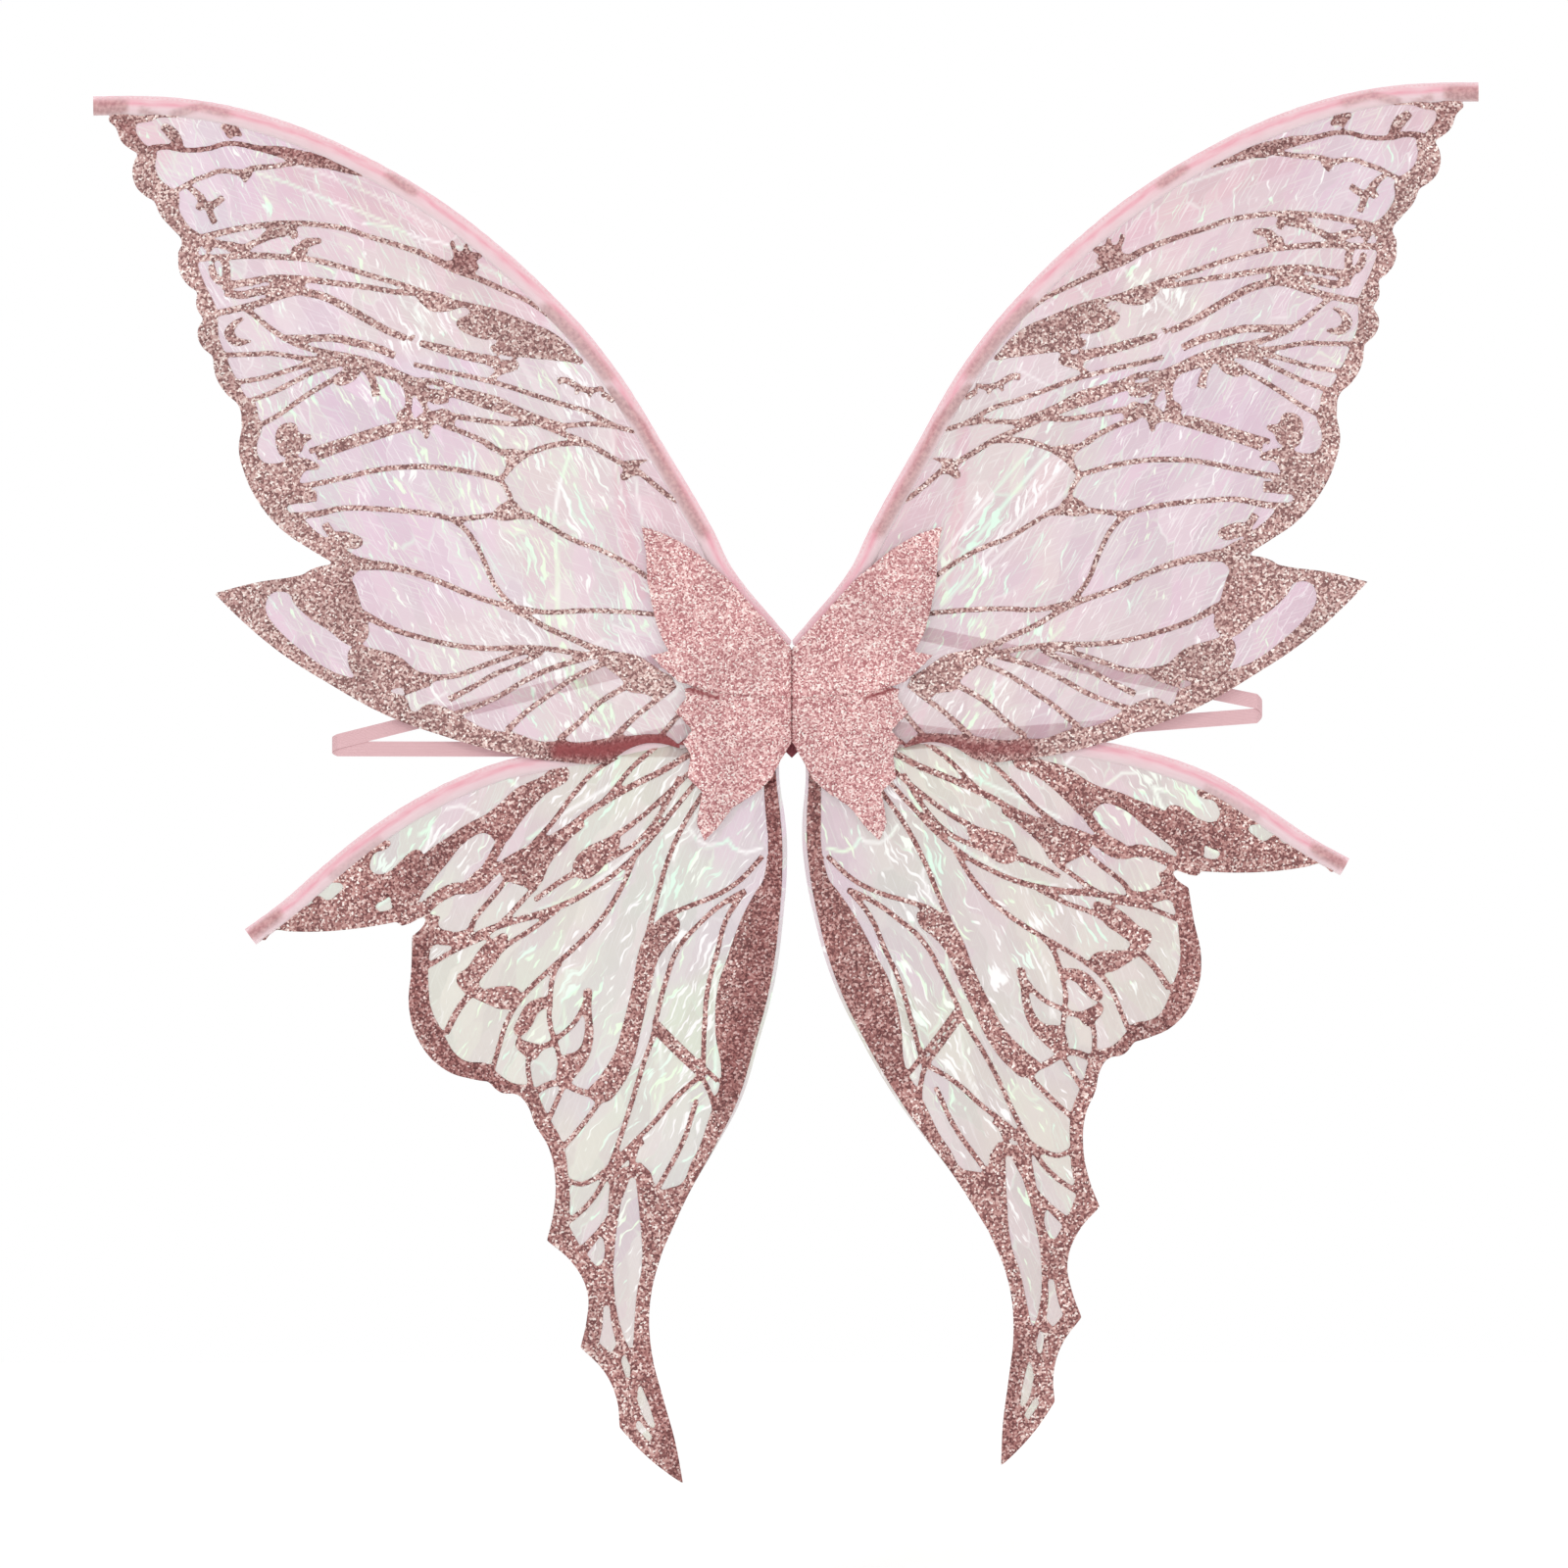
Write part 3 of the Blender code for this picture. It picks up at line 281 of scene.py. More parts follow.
HIND_LINES = [
    [(-244, -148, 8), (-222, -133, 8), (-207, -131, 8), (-193, -120, 6), (-178, -110, 5), (-160, -101, 4),
     (-145, -92, 4), (-132, -82, 4), (-118, -73, 4), (-100, -63, 4), (-84, -55, 4), (-66, -44, 4)],
    [(-190, -102, 6), (-196, -113, 6), (-200, -119, 5), (-207, -125, 5), (-212, -131, 6)],
    [(-127, -79, 3), (-118, -70, 3), (-105, -54, 3), (-88, -39, 3)],
    [(-114, -46, 3), (-128, -55, 3), (-142, -70, 3), (-157, -90, 3), (-168, -102, 3), (-174, -109, 3)],
    [(-66, -56, 3), (-82, -71, 3), (-100, -87, 3), (-115, -98, 4)],
    [(-141, -122, 4), (-150, -127, 3.4), (-168, -140, 3)],
    [(-73, -59, 3), (-85, -82, 3), (-100, -101, 3), (-117, -112, 3), (-126, -117, 3)],
    [(-61, -61, 3), (-78, -82, 3), (-94, -102, 3), (-110, -118, 3), (-126, -130, 3), (-145, -141, 3.6),
     (-165, -149, 4), (-183, -154, 4), (-200, -160, 4), (-212, -166, 4)],
    [(-153, -146, 3), (-170, -159, 3), (-187, -170, 3), (-194, -177, 3)],
    [(-101, -108, 3), (-112, -133, 3), (-125, -153, 3), (-142, -171, 3), (-160, -187, 3), (-175, -202, 3),
     (-185, -217, 3), (-192, -238, 3), (-195, -249, 3)],
    [(-56, -67, 3), (-72, -93, 3), (-82, -117, 3), (-89, -142, 3), (-95, -165, 3)],
    [(-96, -168, 3.4), (-84, -152, 3), (-70, -145, 3), (-50, -137, 3), (-34, -127, 3), (-19, -111, 3)],
    [(-89, -219, 3), (-83, -195, 3), (-74, -171, 3), (-60, -155, 3), (-45, -142, 3), (-30, -134, 4)],
    [(-32, -135, 3.4), (-43, -153, 3), (-49, -175, 3), (-55, -198, 3), (-57, -222, 3), (-58, -252, 3)],
    [(-89, -219, 3), (-72, -236, 3), (-48, -258, 3)],
    [(-90, -225, 3), (-75, -240, 3), (-58, -256, 3)],
    [(-89, -218, 3), (-90, -226, 3), (-97, -247, 3), (-104, -270, 3), (-112, -295, 3), (-119, -314, 3),
     (-130, -335, 3), (-152, -355, 3)],
    [(-58, -253, 3), (-75, -268, 3), (-90, -285, 3), (-105, -300, 3), (-118, -313, 3), (-133, -324, 3),
     (-140, -325, 3), (-149, -321, 3)],
    [(-97, -297, 3), (-113, -313, 3), (-121, -321, 3)],
    [(-60, -253, 3), (-53, -267, 3), (-50, -278, 3)],
    [(-62, -270, 3), (-64, -276, 3), (-70, -295, 3), (-88, -329, 3)],
    [(-99, -293, 3), (-107, -320, 3), (-115, -340, 3), (-128, -360, 3), (-138, -370, 3)],
    [(-226, -227, 4), (-217, -210, 4), (-208, -199, 4)],
    [(-240, -158, 4), (-212, -161, 4), (-207, -152, 3), (-193, -135, 3), (-187, -127, 3)],
    [(-240, -166, 4), (-212, -167, 4), (-203, -164, 3), (-188, -153, 3), (-174, -138, 3), (-167, -131, 3)],
    [(-238, -183, 3), (-217, -171, 3), (-198, -163, 3)],
    [(-151, -181, 3), (-154, -184, 3), (-158, -208, 3), (-158, -220, 3), (-153, -238, 3), (-148, -261, 3)],
    [(-157, -233, 3), (-142, -220, 3), (-132, -200, 3)],
    [(-172, -243, 3), (-172, -252, 3), (-170, -262, 3)],
    [(-170, -266, 4), (-152, -259, 4), (-140, -264, 4), (-125, -268, 4)],
    [(-149, -261, 3), (-160, -286, 3)],
    [(-123, -268, 3), (-137, -287, 3), (-152, -304, 3)],
    [(-118, -316, 3), (-117, -340, 3.4), (-119, -365, 5), (-120, -395, 4)],
    [(-232, -150, 4), (-236, -170, 4)]]

UPPER_LEAF = [
    (-98, 104, C), (-84, 99.5), (-66, 89.5), (-48, 75, C), (-40, 68, C), (-20, 46, C),
    (-0.2, 24.5, C), (-0.2, -8, C), (-28, -6), (-57, -3, C), (-74, 3, C), (-82, 10, C), (-92, 20, C),
    (-80, 22.5, C), (-86, 34), (-91.5, 54, C), (-94.5, 70, C), (-95, 86, C)]
LOWER_LEAF = [
    (-0.2, 4, C), (-0.2, -36.5, C), (-8, -50), (-15, -62), (-24, -70, C), (-38, -79, C), (-49, -93, C),
    (-57, -101, C), (-62, -90, C), (-58.5, -69, C), (-68, -60, C), (-66, -45, C), (-71, -37, C),
    (-65, -29, C), (-76, -17, C), (-69, -8, C), (-70, -2, C), (-40, 6)]
BACK_PAD = [
    (-0.6, 19, C), (-38, 61, C), (-92, 96, C), (-88, 54, C), (-76, 24, C), (-66, 0, C), (-63, -44, C),
    (-55, -68, C), (-56, -92, C), (-36, -74, C), (-8, -44, C), (-0.6, -35, C)]


# The print's ink spreads this much beyond each side of a drawn line.
LINE_SPREAD = 0.32


def deselect():
    """Nothing selected and nothing active, so that an operator acts only on what is chosen next."""
    bpy.ops.object.select_all(action="DESELECT")
    bpy.context.view_layer.objects.active = None


def choose(*things):
    """Select these objects alone; the first is the active one."""
    deselect()
    for thing in things:
        thing.select_set(True)
    bpy.context.view_layer.objects.active = things[0]


def lay(points, side, wing=None):
    """Pattern points as they lie on one side: as drawn on the left, turned over and swung out on the right."""
    if side == "left":
        return [tuple(point) for point in points]
    turn, pivot, width = LIE[wing] if wing else (0.0, (0.0, 0.0), 1.0)
    moved = []
    for point in points:
        arm = Vector((-(point[0] - pivot[0]), point[1] - pivot[1]))
        arm.x *= width
        share = min(arm.length / TURN_REACH, 1.0)
        spot = Matrix.Rotation(math.radians(turn * share), 2) @ arm
        moved.append((spot.x - pivot[0], spot.y + pivot[1], *point[2:]))
    return moved


def beside(points, distance):
    """The line that runs the given distance to the left of the way along the points."""
    line = []
    for index, point in enumerate(points):
        before = Vector(points[max(index - 1, 0)][:2])
        after = Vector(points[min(index + 1, len(points) - 1)][:2])
        along = (after - before).normalized()
        line.append((point[0] - along.y * distance, point[1] + along.x * distance))
    return line


def toward(start, end, distance):
    """The point a distance along the way from start to end."""
    way = (Vector(end) - Vector(start)).normalized()
    return tuple(Vector(start) + way * distance)


def film_cut(margin, edge, stop):
    """A film's cut: its free margin, closed inside the sleeve."""
    line = beside(edge, -FILM_EDGE_INSET)
    return [*margin, *reversed(line[1:stop]), (*toward(line[0], line[1], FILM_SETBACK), CORNER)]


def curve_object(name, flat):
    """An empty curve that stands up in the XZ plane once it is made a mesh."""
    curve = bpy.data.curves.new(name, "CURVE")
    curve.dimensions = "2D" if flat else "3D"
    curve.resolution_u = 4
    thing = bpy.data.objects.new(name, curve)
    bpy.context.scene.collection.objects.link(thing)
    thing.rotation_euler = (math.pi / 2, 0.0, 0.0)
    return thing


def add_spline(curve, points, cyclic):
    """One spline: smooth, with a sharp turn at each corner point; a number as third value is a line width."""
    spline = curve.splines.new("BEZIER")
    spline.bezier_points.add(len(points) - 1)
    spline.use_cyclic_u = cyclic
    for knot, point in zip(spline.bezier_points, points):
        knot.co = (point[0] * MM, point[1] * MM, 0.0)
        extra = point[2] if len(point) > 2 else None
        kind = "VECTOR" if extra == CORNER else "AUTO"
        knot.handle_left_type = kind
        knot.handle_right_type = kind
        if extra not in (None, CORNER):
            knot.radius = extra / 2 + LINE_SPREAD


def to_mesh(thing):
    """Make a curve object a mesh with its place in the mesh."""
    choose(thing)
    bpy.ops.object.convert(target="MESH")
    thing = bpy.context.view_layer.objects.active
    bpy.ops.object.transform_apply(location=True, rotation=True, scale=True)
    return thing


def join(name, things):
    """Join meshes into one named piece."""
    choose(*things)
    if len(things) > 1:
        bpy.ops.object.join()
    piece = bpy.context.view_layer.objects.active
    piece.name = name
    piece.data.name = name
    return piece


def slab(name, outline, half_thickness, holes=()):
    """A filled outline of even thickness round the XZ plane."""
    thing = curve_object(name, True)
    thing.data.fill_mode = "BOTH"
    thing.data.extrude = half_thickness * MM
    add_spline(thing.data, outline, True)
    for hole in holes:
        add_spline(thing.data, hole, True)
    return to_mesh(thing)


def strokes(name, lines, half_thickness):
    """Round-ended lines of their own widths, pressed to an even thickness round the XZ plane."""
    thing = curve_object(name, False)
    thing.data.bevel_depth = MM
    thing.data.bevel_resolution = 2
    thing.data.use_fill_caps = True
    for line in lines:
        add_spline(thing.data, line, False)
    piece = to_mesh(thing)
    for vert in piece.data.vertices:
        vert.co.y = max(-half_thickness * MM, min(half_thickness * MM, vert.co.y))
    return piece


def remesh(piece, voxel):
    """Even small faces all over, with crossing shells made one."""
    choose(piece)
    modifier = piece.modifiers.new("even faces", "REMESH")
    modifier.mode = "VOXEL"
    modifier.voxel_size = voxel * MM
    bpy.ops.object.modifier_apply(modifier=modifier.name)
    return piece


def coordinates(piece):
    """A mesh's points as an array."""
    co = np.zeros(len(piece.data.vertices) * 3)
    piece.data.vertices.foreach_get("co", co)
    return co.reshape(-1, 3)


def set_coordinates(piece, co):
    """Put a mesh's points where the array says."""
    piece.data.vertices.foreach_set("co", co.astype(np.float32).ravel())
    piece.data.update()


def distance_to(points, line):
    """Distance of each (x, z) point from a polyline, all in metres."""
    best = np.full(len(points), 1e9)
    for start, end in zip(line, line[1:]):
        start, end = np.array(start), np.array(end)
        way = end - start
        along = np.clip(((points - start) @ way) / max(way @ way, 1e-12), 0.0, 1.0)
        gap = np.linalg.norm(points - start - along[:, None] * way, axis=1)
        best = np.minimum(best, gap)
    return best


def metres(points, side, wing):
    """Pattern points as (x, z) in metres on one side."""
    return [(x * MM, z * MM) for x, z, *rest in lay(points, side, wing)]


def smoothstep(low, high, values):
    """0 below low, 1 above high, and an even rise between."""
    share = np.clip((values - low) / (high - low), 0.0, 1.0)
    return share * share * (3 - 2 * share)


def waves(points, side, wing):
    """How far the film stands forward (-) or back (+) of its layer, in metres, at each (x, z) point."""
    x = np.abs(points[:, 0])
    z = points[:, 1]
    edge = metres(FORE_EDGE if wing == "forewing" else HIND_EDGE, side, wing)
    from_edge = distance_to(points, edge)
    from_root = np.hypot(x, z + (0.0 if wing == "forewing" else 0.03))
    free = smoothstep(0.006, 0.11, from_edge) * smoothstep(0.10, 0.26, from_root)
    seed = 3.0 if side == "left" else 11.0
    soft = np.array([noise.noise((px * 14, pz * 14, seed)) for px, pz in points])
    fine = np.array([noise.noise((px * 45, pz * 45, seed + 5)) for px, pz in points])
    if wing == "forewing":
        along = (x * 0.8 + z * 0.6)
        across = (-x * 0.6 + z * 0.8)
        swell = 0.9 * np.sin(across * 62 + soft * 2) * 0.5 + 0.5 * soft + 0.12 * fine
        lift = -0.4 + 0.6 * swell + 0.25 * np.sin(along * 30)
        amount = np.minimum(lift, np.where(z < 0.07, 0.0, 0.8))
        return amount * free * 2.4 * MM
    swell = 0.5 * np.sin(x * 85 + z * 20 + soft * 2) + 0.6 * soft + 0.14 * fine
    low = smoothstep(-0.10, -0.24, z)
    return swell * free * (0.45 + 2.0 * low) * MM


def press(piece, y_middle, half_thickness, thin, side, wing):
    """Bring a thick blank to its real thickness and lay it on the wing's waves."""
    co = coordinates(piece)
    co[:, 1] = co[:, 1] / (half_thickness * MM) * thin / 2 * MM
    flat = co[:, [0, 2]]
    co[:, 1] += y_middle * MM + waves(flat, side, wing) - crease_strength(flat, side, wing) * CREASE_RISE * MM
    set_coordinates(piece, co)
    choose(piece)
    bpy.ops.object.shade_smooth()


def float_attribute(piece, name, values):
    """Keep one number per point for the material to read."""
    attribute = piece.data.attributes.new(name, "FLOAT", "POINT")
    attribute.data.foreach_set("value", np.asarray(values, np.float32))


# ------------------------------------------------------------------ materials
def srgb(hex_colour):
    """An sRGB hex colour as linear RGBA."""
    shares = [int(hex_colour[i:i + 2], 16) / 255 for i in (1, 3, 5)]
    return (*[v / 12.92 if v <= 0.04045 else ((v + 0.055) / 1.055) ** 2.4 for v in shares], 1.0)


def node(tree, kind, settings=None, inputs=None, stops=None):
    """One shader node with its settings, its inputs' values or links, and a ramp's stops."""
    made = tree.nodes.new("ShaderNode" + kind)
    for key, value in (settings or {}).items():
        setattr(made, key, value)
    for key, value in (inputs or {}).items():
        if isinstance(value, bpy.types.NodeSocket):
            tree.links.new(value, made.inputs[key])
        else:
            made.inputs[key].default_value = value
    for index, (position, colour) in enumerate(stops or []):
        elements = made.color_ramp.elements
        element = elements[index] if index < 2 else elements.new(position)
        element.position = position
        element.color = srgb(colour)
    return made


def finish_named(name, values):
    """A new Principled material: (material, node tree, shader)."""
    made = bpy.data.materials.new(name)
    made.use_nodes = True
    shader = made.node_tree.nodes["Principled BSDF"]
    for key, value in values.items():
        shader.inputs[key].default_value = value
    return made, made.node_tree, shader


def glitter(name, dark, middle, light, spark, flake_mm):
    """Glitter print: PET flakes bedded in pink binder. Each flake has its own shade and its own tilt, so
    it sparkles grain by grain. Real flakes are 0.4 mm; they are drawn coarser so that the grain shows."""
    made, tree, shader = finish_named(name, {"Roughness": 0.42, "Metallic": 0.25})
    place = node(tree, "TexCoord")
    flakes = node(tree, "TexVoronoi", {"voronoi_dimensions": "3D"},
                  {"Vector": place.outputs["Object"], "Scale": 1.0 / (flake_mm * MM), "Randomness": 1.0})
    parts = node(tree, "SeparateColor", None, {"Color": flakes.outputs["Color"]})
    # The flakes' colours run from dark to near white: partly their own tone, partly painted sparkle and painted
    # shade for flakes that catch or miss the light.
    shade = node(tree, "ValToRGB", None, {"Fac": parts.outputs["Red"]},
                 [(0.0, dark), (0.22, dark), (0.45, middle), (0.72, light), (0.90, spark), (1.0, "#FFF6F0")])
    cloud = node(tree, "TexNoise", None, {"Vector": place.outputs["Object"], "Scale": 28.0, "Detail": 3.0})
    tone = node(tree, "MapRange", None, {"Value": cloud.outputs["Fac"], "From Min": 0.3, "From Max": 0.7,
                                         "To Min": 0.88, "To Max": 1.1})
    toned = node(tree, "Mix", {"data_type": "RGBA", "blend_type": "MULTIPLY"},
                 {0: 1.0, 6: shade.outputs["Color"], 7: tone.outputs["Result"]})
    # Painted shade: where the 'turned' mark is set the colour is darkened, then taken toward dark red, as if the
    # sheet turned away from the light.
    turned = node(tree, "Attribute", {"attribute_name": "turned"})
    dimmed = node(tree, "Mix", {"data_type": "RGBA", "blend_type": "MULTIPLY"},
                  {0: turned.outputs["Fac"], 6: toned.outputs[2], 7: srgb("#B4767A")})
    shade_depth = node(tree, "MapRange", None, {"Value": turned.outputs["Fac"], "From Min": 0.55, "From Max": 1.0,
                                         "To Min": 0.0, "To Max": 0.85})
    shaded_colour = node(tree, "Mix", {"data_type": "RGBA"},
                 {0: shade_depth.outputs["Result"], 6: dimmed.outputs[2], 7: srgb("#8C3D40")})
    tree.links.new(shaded_colour.outputs[2], shader.inputs["Base Color"])
    lie = node(tree, "VectorMath", {"operation": "SUBTRACT"}, {0: flakes.outputs["Color"], 1: (0.5, 0.5, 0.5)})
    tilt = node(tree, "VectorMath", {"operation": "SCALE"}, {0: lie.outputs["Vector"], "Scale": 0.9})
    face = node(tree, "NewGeometry")
    bent = node(tree, "VectorMath", {"operation": "ADD"}, {0: face.outputs["Normal"], 1: tilt.outputs["Vector"]})
    unit = node(tree, "VectorMath", {"operation": "NORMALIZE"}, {0: bent.outputs["Vector"]})
    tree.links.new(unit.outputs["Vector"], shader.inputs["Normal"])
    return made


def film_finish(name, cast, facets, scratched, detail):
    """Iridescent cellophane: thin cast film, crinkled by handling. Pastel tints drift over it in long facets and
    fine handling scratches run aslant; along sharp creases and fold lines and in glinting spots the colour is
    lifted to mint and white as painted highlights. The cast is the colour of the whole film, the facets its drift,
    scratched how strongly the scratches show."""
    made, tree, shader = finish_named(name, {"Roughness": 0.24, "Alpha": 0.5, "IOR": 1.5, "Coat Weight": 0.3,
                                             "Coat Roughness": 0.08})
    lay_map = node(tree, "UVMap", {"uv_map": "cloth"})
    tint = node(tree, "VertexColor", {"layer_name": "tint"})
    crease = node(tree, "Attribute", {"attribute_name": "crease"})
    glint_spot = node(tree, "Attribute", {"attribute_name": "glint_spot"})
    # The map is in millimetres. A slow drift bends the patterns below, so that no line is straight.
    drift = node(tree, "TexNoise", None, {"Vector": lay_map.outputs["UV"], "Scale": 0.03, "Detail": 3.0})
    pull = node(tree, "VectorMath", {"operation": "SCALE"}, {0: drift.outputs["Color"], "Scale": 26.0})
    bent = node(tree, "VectorMath", {"operation": "ADD"}, {0: lay_map.outputs["UV"], 1: pull.outputs["Vector"]})

    def streaks(source, angle, long, wide):
        return node(tree, "Mapping", {"vector_type": "TEXTURE"},
                    {"Vector": source.outputs[0], "Rotation": (0.0, 0.0, angle), "Scale": (long, wide, 1.0)})

    # Facets: the flat faces between folds, about 44 mm long and 11 mm wide, each a little to one tint.
    faces = streaks(bent, 0.25, 44.0, 11.0)
    facet = node(tree, "TexVoronoi", {"feature": "SMOOTH_F1", "voronoi_dimensions": "2D"},
                 {"Vector": faces.outputs["Vector"], "Scale": 1.0, "Smoothness": 0.2})
    parts = node(tree, "SeparateColor", None, {"Color": facet.outputs["Color"]})
    facet_tint = node(tree, "ValToRGB", None, {"Fac": parts.outputs["Red"]},
                      facets)
    drifted = node(tree, "Mix", {"data_type": "RGBA"},
                   {0: 0.32, 6: tint.outputs["Color"], 7: facet_tint.outputs["Color"]})
    cast_on = node(tree, "Mix", {"data_type": "RGBA", "blend_type": "MULTIPLY"},
                   {0: 1.0, 6: drifted.outputs[2], 7: srgb(cast)})
    # Painted shade: each facet is made a little lighter or darker, as if it faced the light at its own angle.
    facet_shade = node(tree, "MapRange", None, {"Value": parts.outputs["Blue"], "To Min": 0.90, "To Max": 1.06})
    based = node(tree, "HueSaturation", None, {"Color": cast_on.outputs[2], "Value": facet_shade.outputs["Result"]})
    # Painted highlights along the fold lines between facets, where a slow gate lets them show.
    fold = node(tree, "TexVoronoi", {"feature": "DISTANCE_TO_EDGE", "voronoi_dimensions": "2D"},
                {"Vector": faces.outputs["Vector"], "Scale": 1.0})
    fold_line = node(tree, "MapRange", None, {"Value": fold.outputs["Distance"], "From Min": 0.0, "From Max": 0.05,
                                              "To Min": 0.5, "To Max": 0.0})
    gate = node(tree, "TexNoise", None, {"Vector": bent.outputs["Vector"], "Scale": 0.022, "Detail": 1.0})
    gate_open = node(tree, "MapRange", None, {"Value": gate.outputs["Fac"], "From Min": 0.47, "From Max": 0.6,
                                              "To Min": 0.1, "To Max": 1.0})
    lines = node(tree, "Math", {"operation": "MULTIPLY"},
                 {0: fold_line.outputs["Result"], 1: gate_open.outputs["Result"]})
    # Scratches: hair lines about 30 mm long, along the wing and across. Real ones are 0.2 mm wide; they are
    # drawn 1.3 mm wide so that they show.
    hairs = None
    for angle, strength in ((0.14, 0.6 * scratched), (-0.55, 0.3 * scratched)):
        slant = streaks(lay_map, angle, 30.0, 1.3)
        hair = node(tree, "TexNoise", {"noise_dimensions": "2D"},
                    {"Vector": slant.outputs["Vector"], "Scale": 1.0, "Detail": 1.5})
        drawn = node(tree, "MapRange", None, {"Value": hair.outputs["Fac"], "From Min": 0.60, "From Max": 0.72,
                                              "To Min": 0.0, "To Max": strength})
        hairs = drawn if hairs is None else node(tree, "Math", {"operation": "MAXIMUM"},
                                                 {0: hairs.outputs[0], 1: drawn.outputs[0]})
    # Glints: painted highlights 3 mm wide and 17 mm long, as crushed film catching the light, mostly round the
    # glint spots.
    glint_map = streaks(bent, 0.3, 17.0, 2.8)
    glint = node(tree, "TexNoise", {"noise_dimensions": "2D"},
                 {"Vector": glint_map.outputs["Vector"], "Scale": 1.0, "Detail": detail, "Roughness": 0.5,
                  "Distortion": 0.1})
    raised = node(tree, "Math", {"operation": "MULTIPLY_ADD"},
                  {0: glint_spot.outputs["Fac"], 1: 0.17, 2: glint.outputs["Fac"]})
    painted_glints = node(tree, "MapRange", None, {"Value": raised.outputs["Value"], "From Min": 0.655, "From Max": 0.73,
                                           "To Min": 0.0, "To Max": 0.9})
    # Painted highlights: creases, fold lines and glints, together with the real scratches, lift the colour toward
    # the mint and white of the light ramp.
    bright = crease
    for more in (lines, painted_glints, hairs):
        bright = node(tree, "Math", {"operation": "MAXIMUM", "use_clamp": True},
                      {0: bright.outputs["Fac"] if bright is crease else bright.outputs[0], 1: more.outputs[0]})
    light = node(tree, "ValToRGB", None, {"Fac": parts.outputs["Green"]},
                 [(0.0, "#FFFAFC"), (0.35, "#FBFCF8"), (0.55, "#D9FBE6"), (0.8, "#EAFDDC"), (1.0, "#FCFEFA")])
    glow = node(tree, "Mix", {"data_type": "RGBA"},
                {0: bright.outputs[0], 6: based.outputs["Color"], 7: light.outputs["Color"]})
    tree.links.new(glow.outputs[2], shader.inputs["Base Color"])
    height = node(tree, "Math", {"operation": "MULTIPLY_ADD"},
                  {0: bright.outputs[0], 1: 0.6, 2: parts.outputs["Blue"]})
    bump = node(tree, "Bump", None, {"Height": height.outputs["Value"], "Strength": 0.3, "Distance": 0.0008})
    tree.links.new(bump.outputs["Normal"], shader.inputs["Normal"])
    return made


def ribbon_finish(name):
    """Organza ribbon: sheer nylon, plain woven and folded over the wire, palest at its fold. It is deepest
    in colour along the wire, and the glitter print under it shows through as a soft brown."""
    made, tree, shader = finish_named(name, {"Roughness": 0.5, "Sheen Weight": 0.3})
    cloth = node(tree, "UVMap", {"uv_map": "cloth"})
    parts = node(tree, "SeparateXYZ", None, {"Vector": cloth.outputs["UV"]})
    weave = node(tree, "TexWave", {"wave_type": "BANDS", "bands_direction": "X"},
                 {"Vector": cloth.outputs["UV"], "Scale": 1.1, "Distortion": 2.0, "Detail": 2.0})
    depth = node(tree, "ValToRGB", None, {"Fac": parts.outputs["Y"]},
                 [(0.0, "#FBEEF0"), (0.10, "#F9E0E4"), (0.40, "#F7D3DA"), (0.52, "#F6BDC8"), (0.62, "#F2A9B8"),
                  (0.76, "#F5B9C4"), (0.90, "#F8D8DD"), (1.0, "#F1BEC8")])
    streak_map = node(tree, "Mapping", {"vector_type": "TEXTURE"},
                      {"Vector": cloth.outputs["UV"], "Scale": (16.0, 0.22, 1.0)})
    streak = node(tree, "TexNoise", {"noise_dimensions": "2D"},
                  {"Vector": streak_map.outputs["Vector"], "Scale": 1.0, "Detail": 3.0})
    soft = node(tree, "MapRange", None, {"Value": streak.outputs["Fac"], "From Min": 0.3, "From Max": 0.7,
                                         "To Min": 0.0, "To Max": 0.45})
    paled = node(tree, "Mix", {"data_type": "RGBA"},
                 {0: soft.outputs["Result"], 6: depth.outputs["Color"], 7: srgb("#FBE9EC")})
    place = node(tree, "TexCoord")
    flake = node(tree, "TexNoise", None, {"Vector": place.outputs["Object"], "Scale": 420.0, "Detail": 2.0})
    under = node(tree, "ValToRGB", None, {"Fac": flake.outputs["Fac"]}, [(0.35, "#A66E6D"), (0.65, "#D2A39F")])
    stain = node(tree, "Attribute", {"attribute_name": "stain"})
    shown = node(tree, "Mix", {"data_type": "RGBA"},
                 {0: stain.outputs["Fac"], 6: paled.outputs[2], 7: under.outputs["Color"]})
    tree.links.new(shown.outputs[2], shader.inputs["Base Color"])
    sheer = node(tree, "MapRange", None, {"Value": parts.outputs["Y"], "From Min": 0.0, "From Max": 0.6,
                                          "To Min": 0.62, "To Max": 0.84})
    tree.links.new(sheer.outputs["Result"], shader.inputs["Alpha"])
    bump = node(tree, "Bump", None, {"Height": weave.outputs["Fac"], "Strength": 0.4, "Distance": 0.0002})
    tree.links.new(bump.outputs["Normal"], shader.inputs["Normal"])
    return made


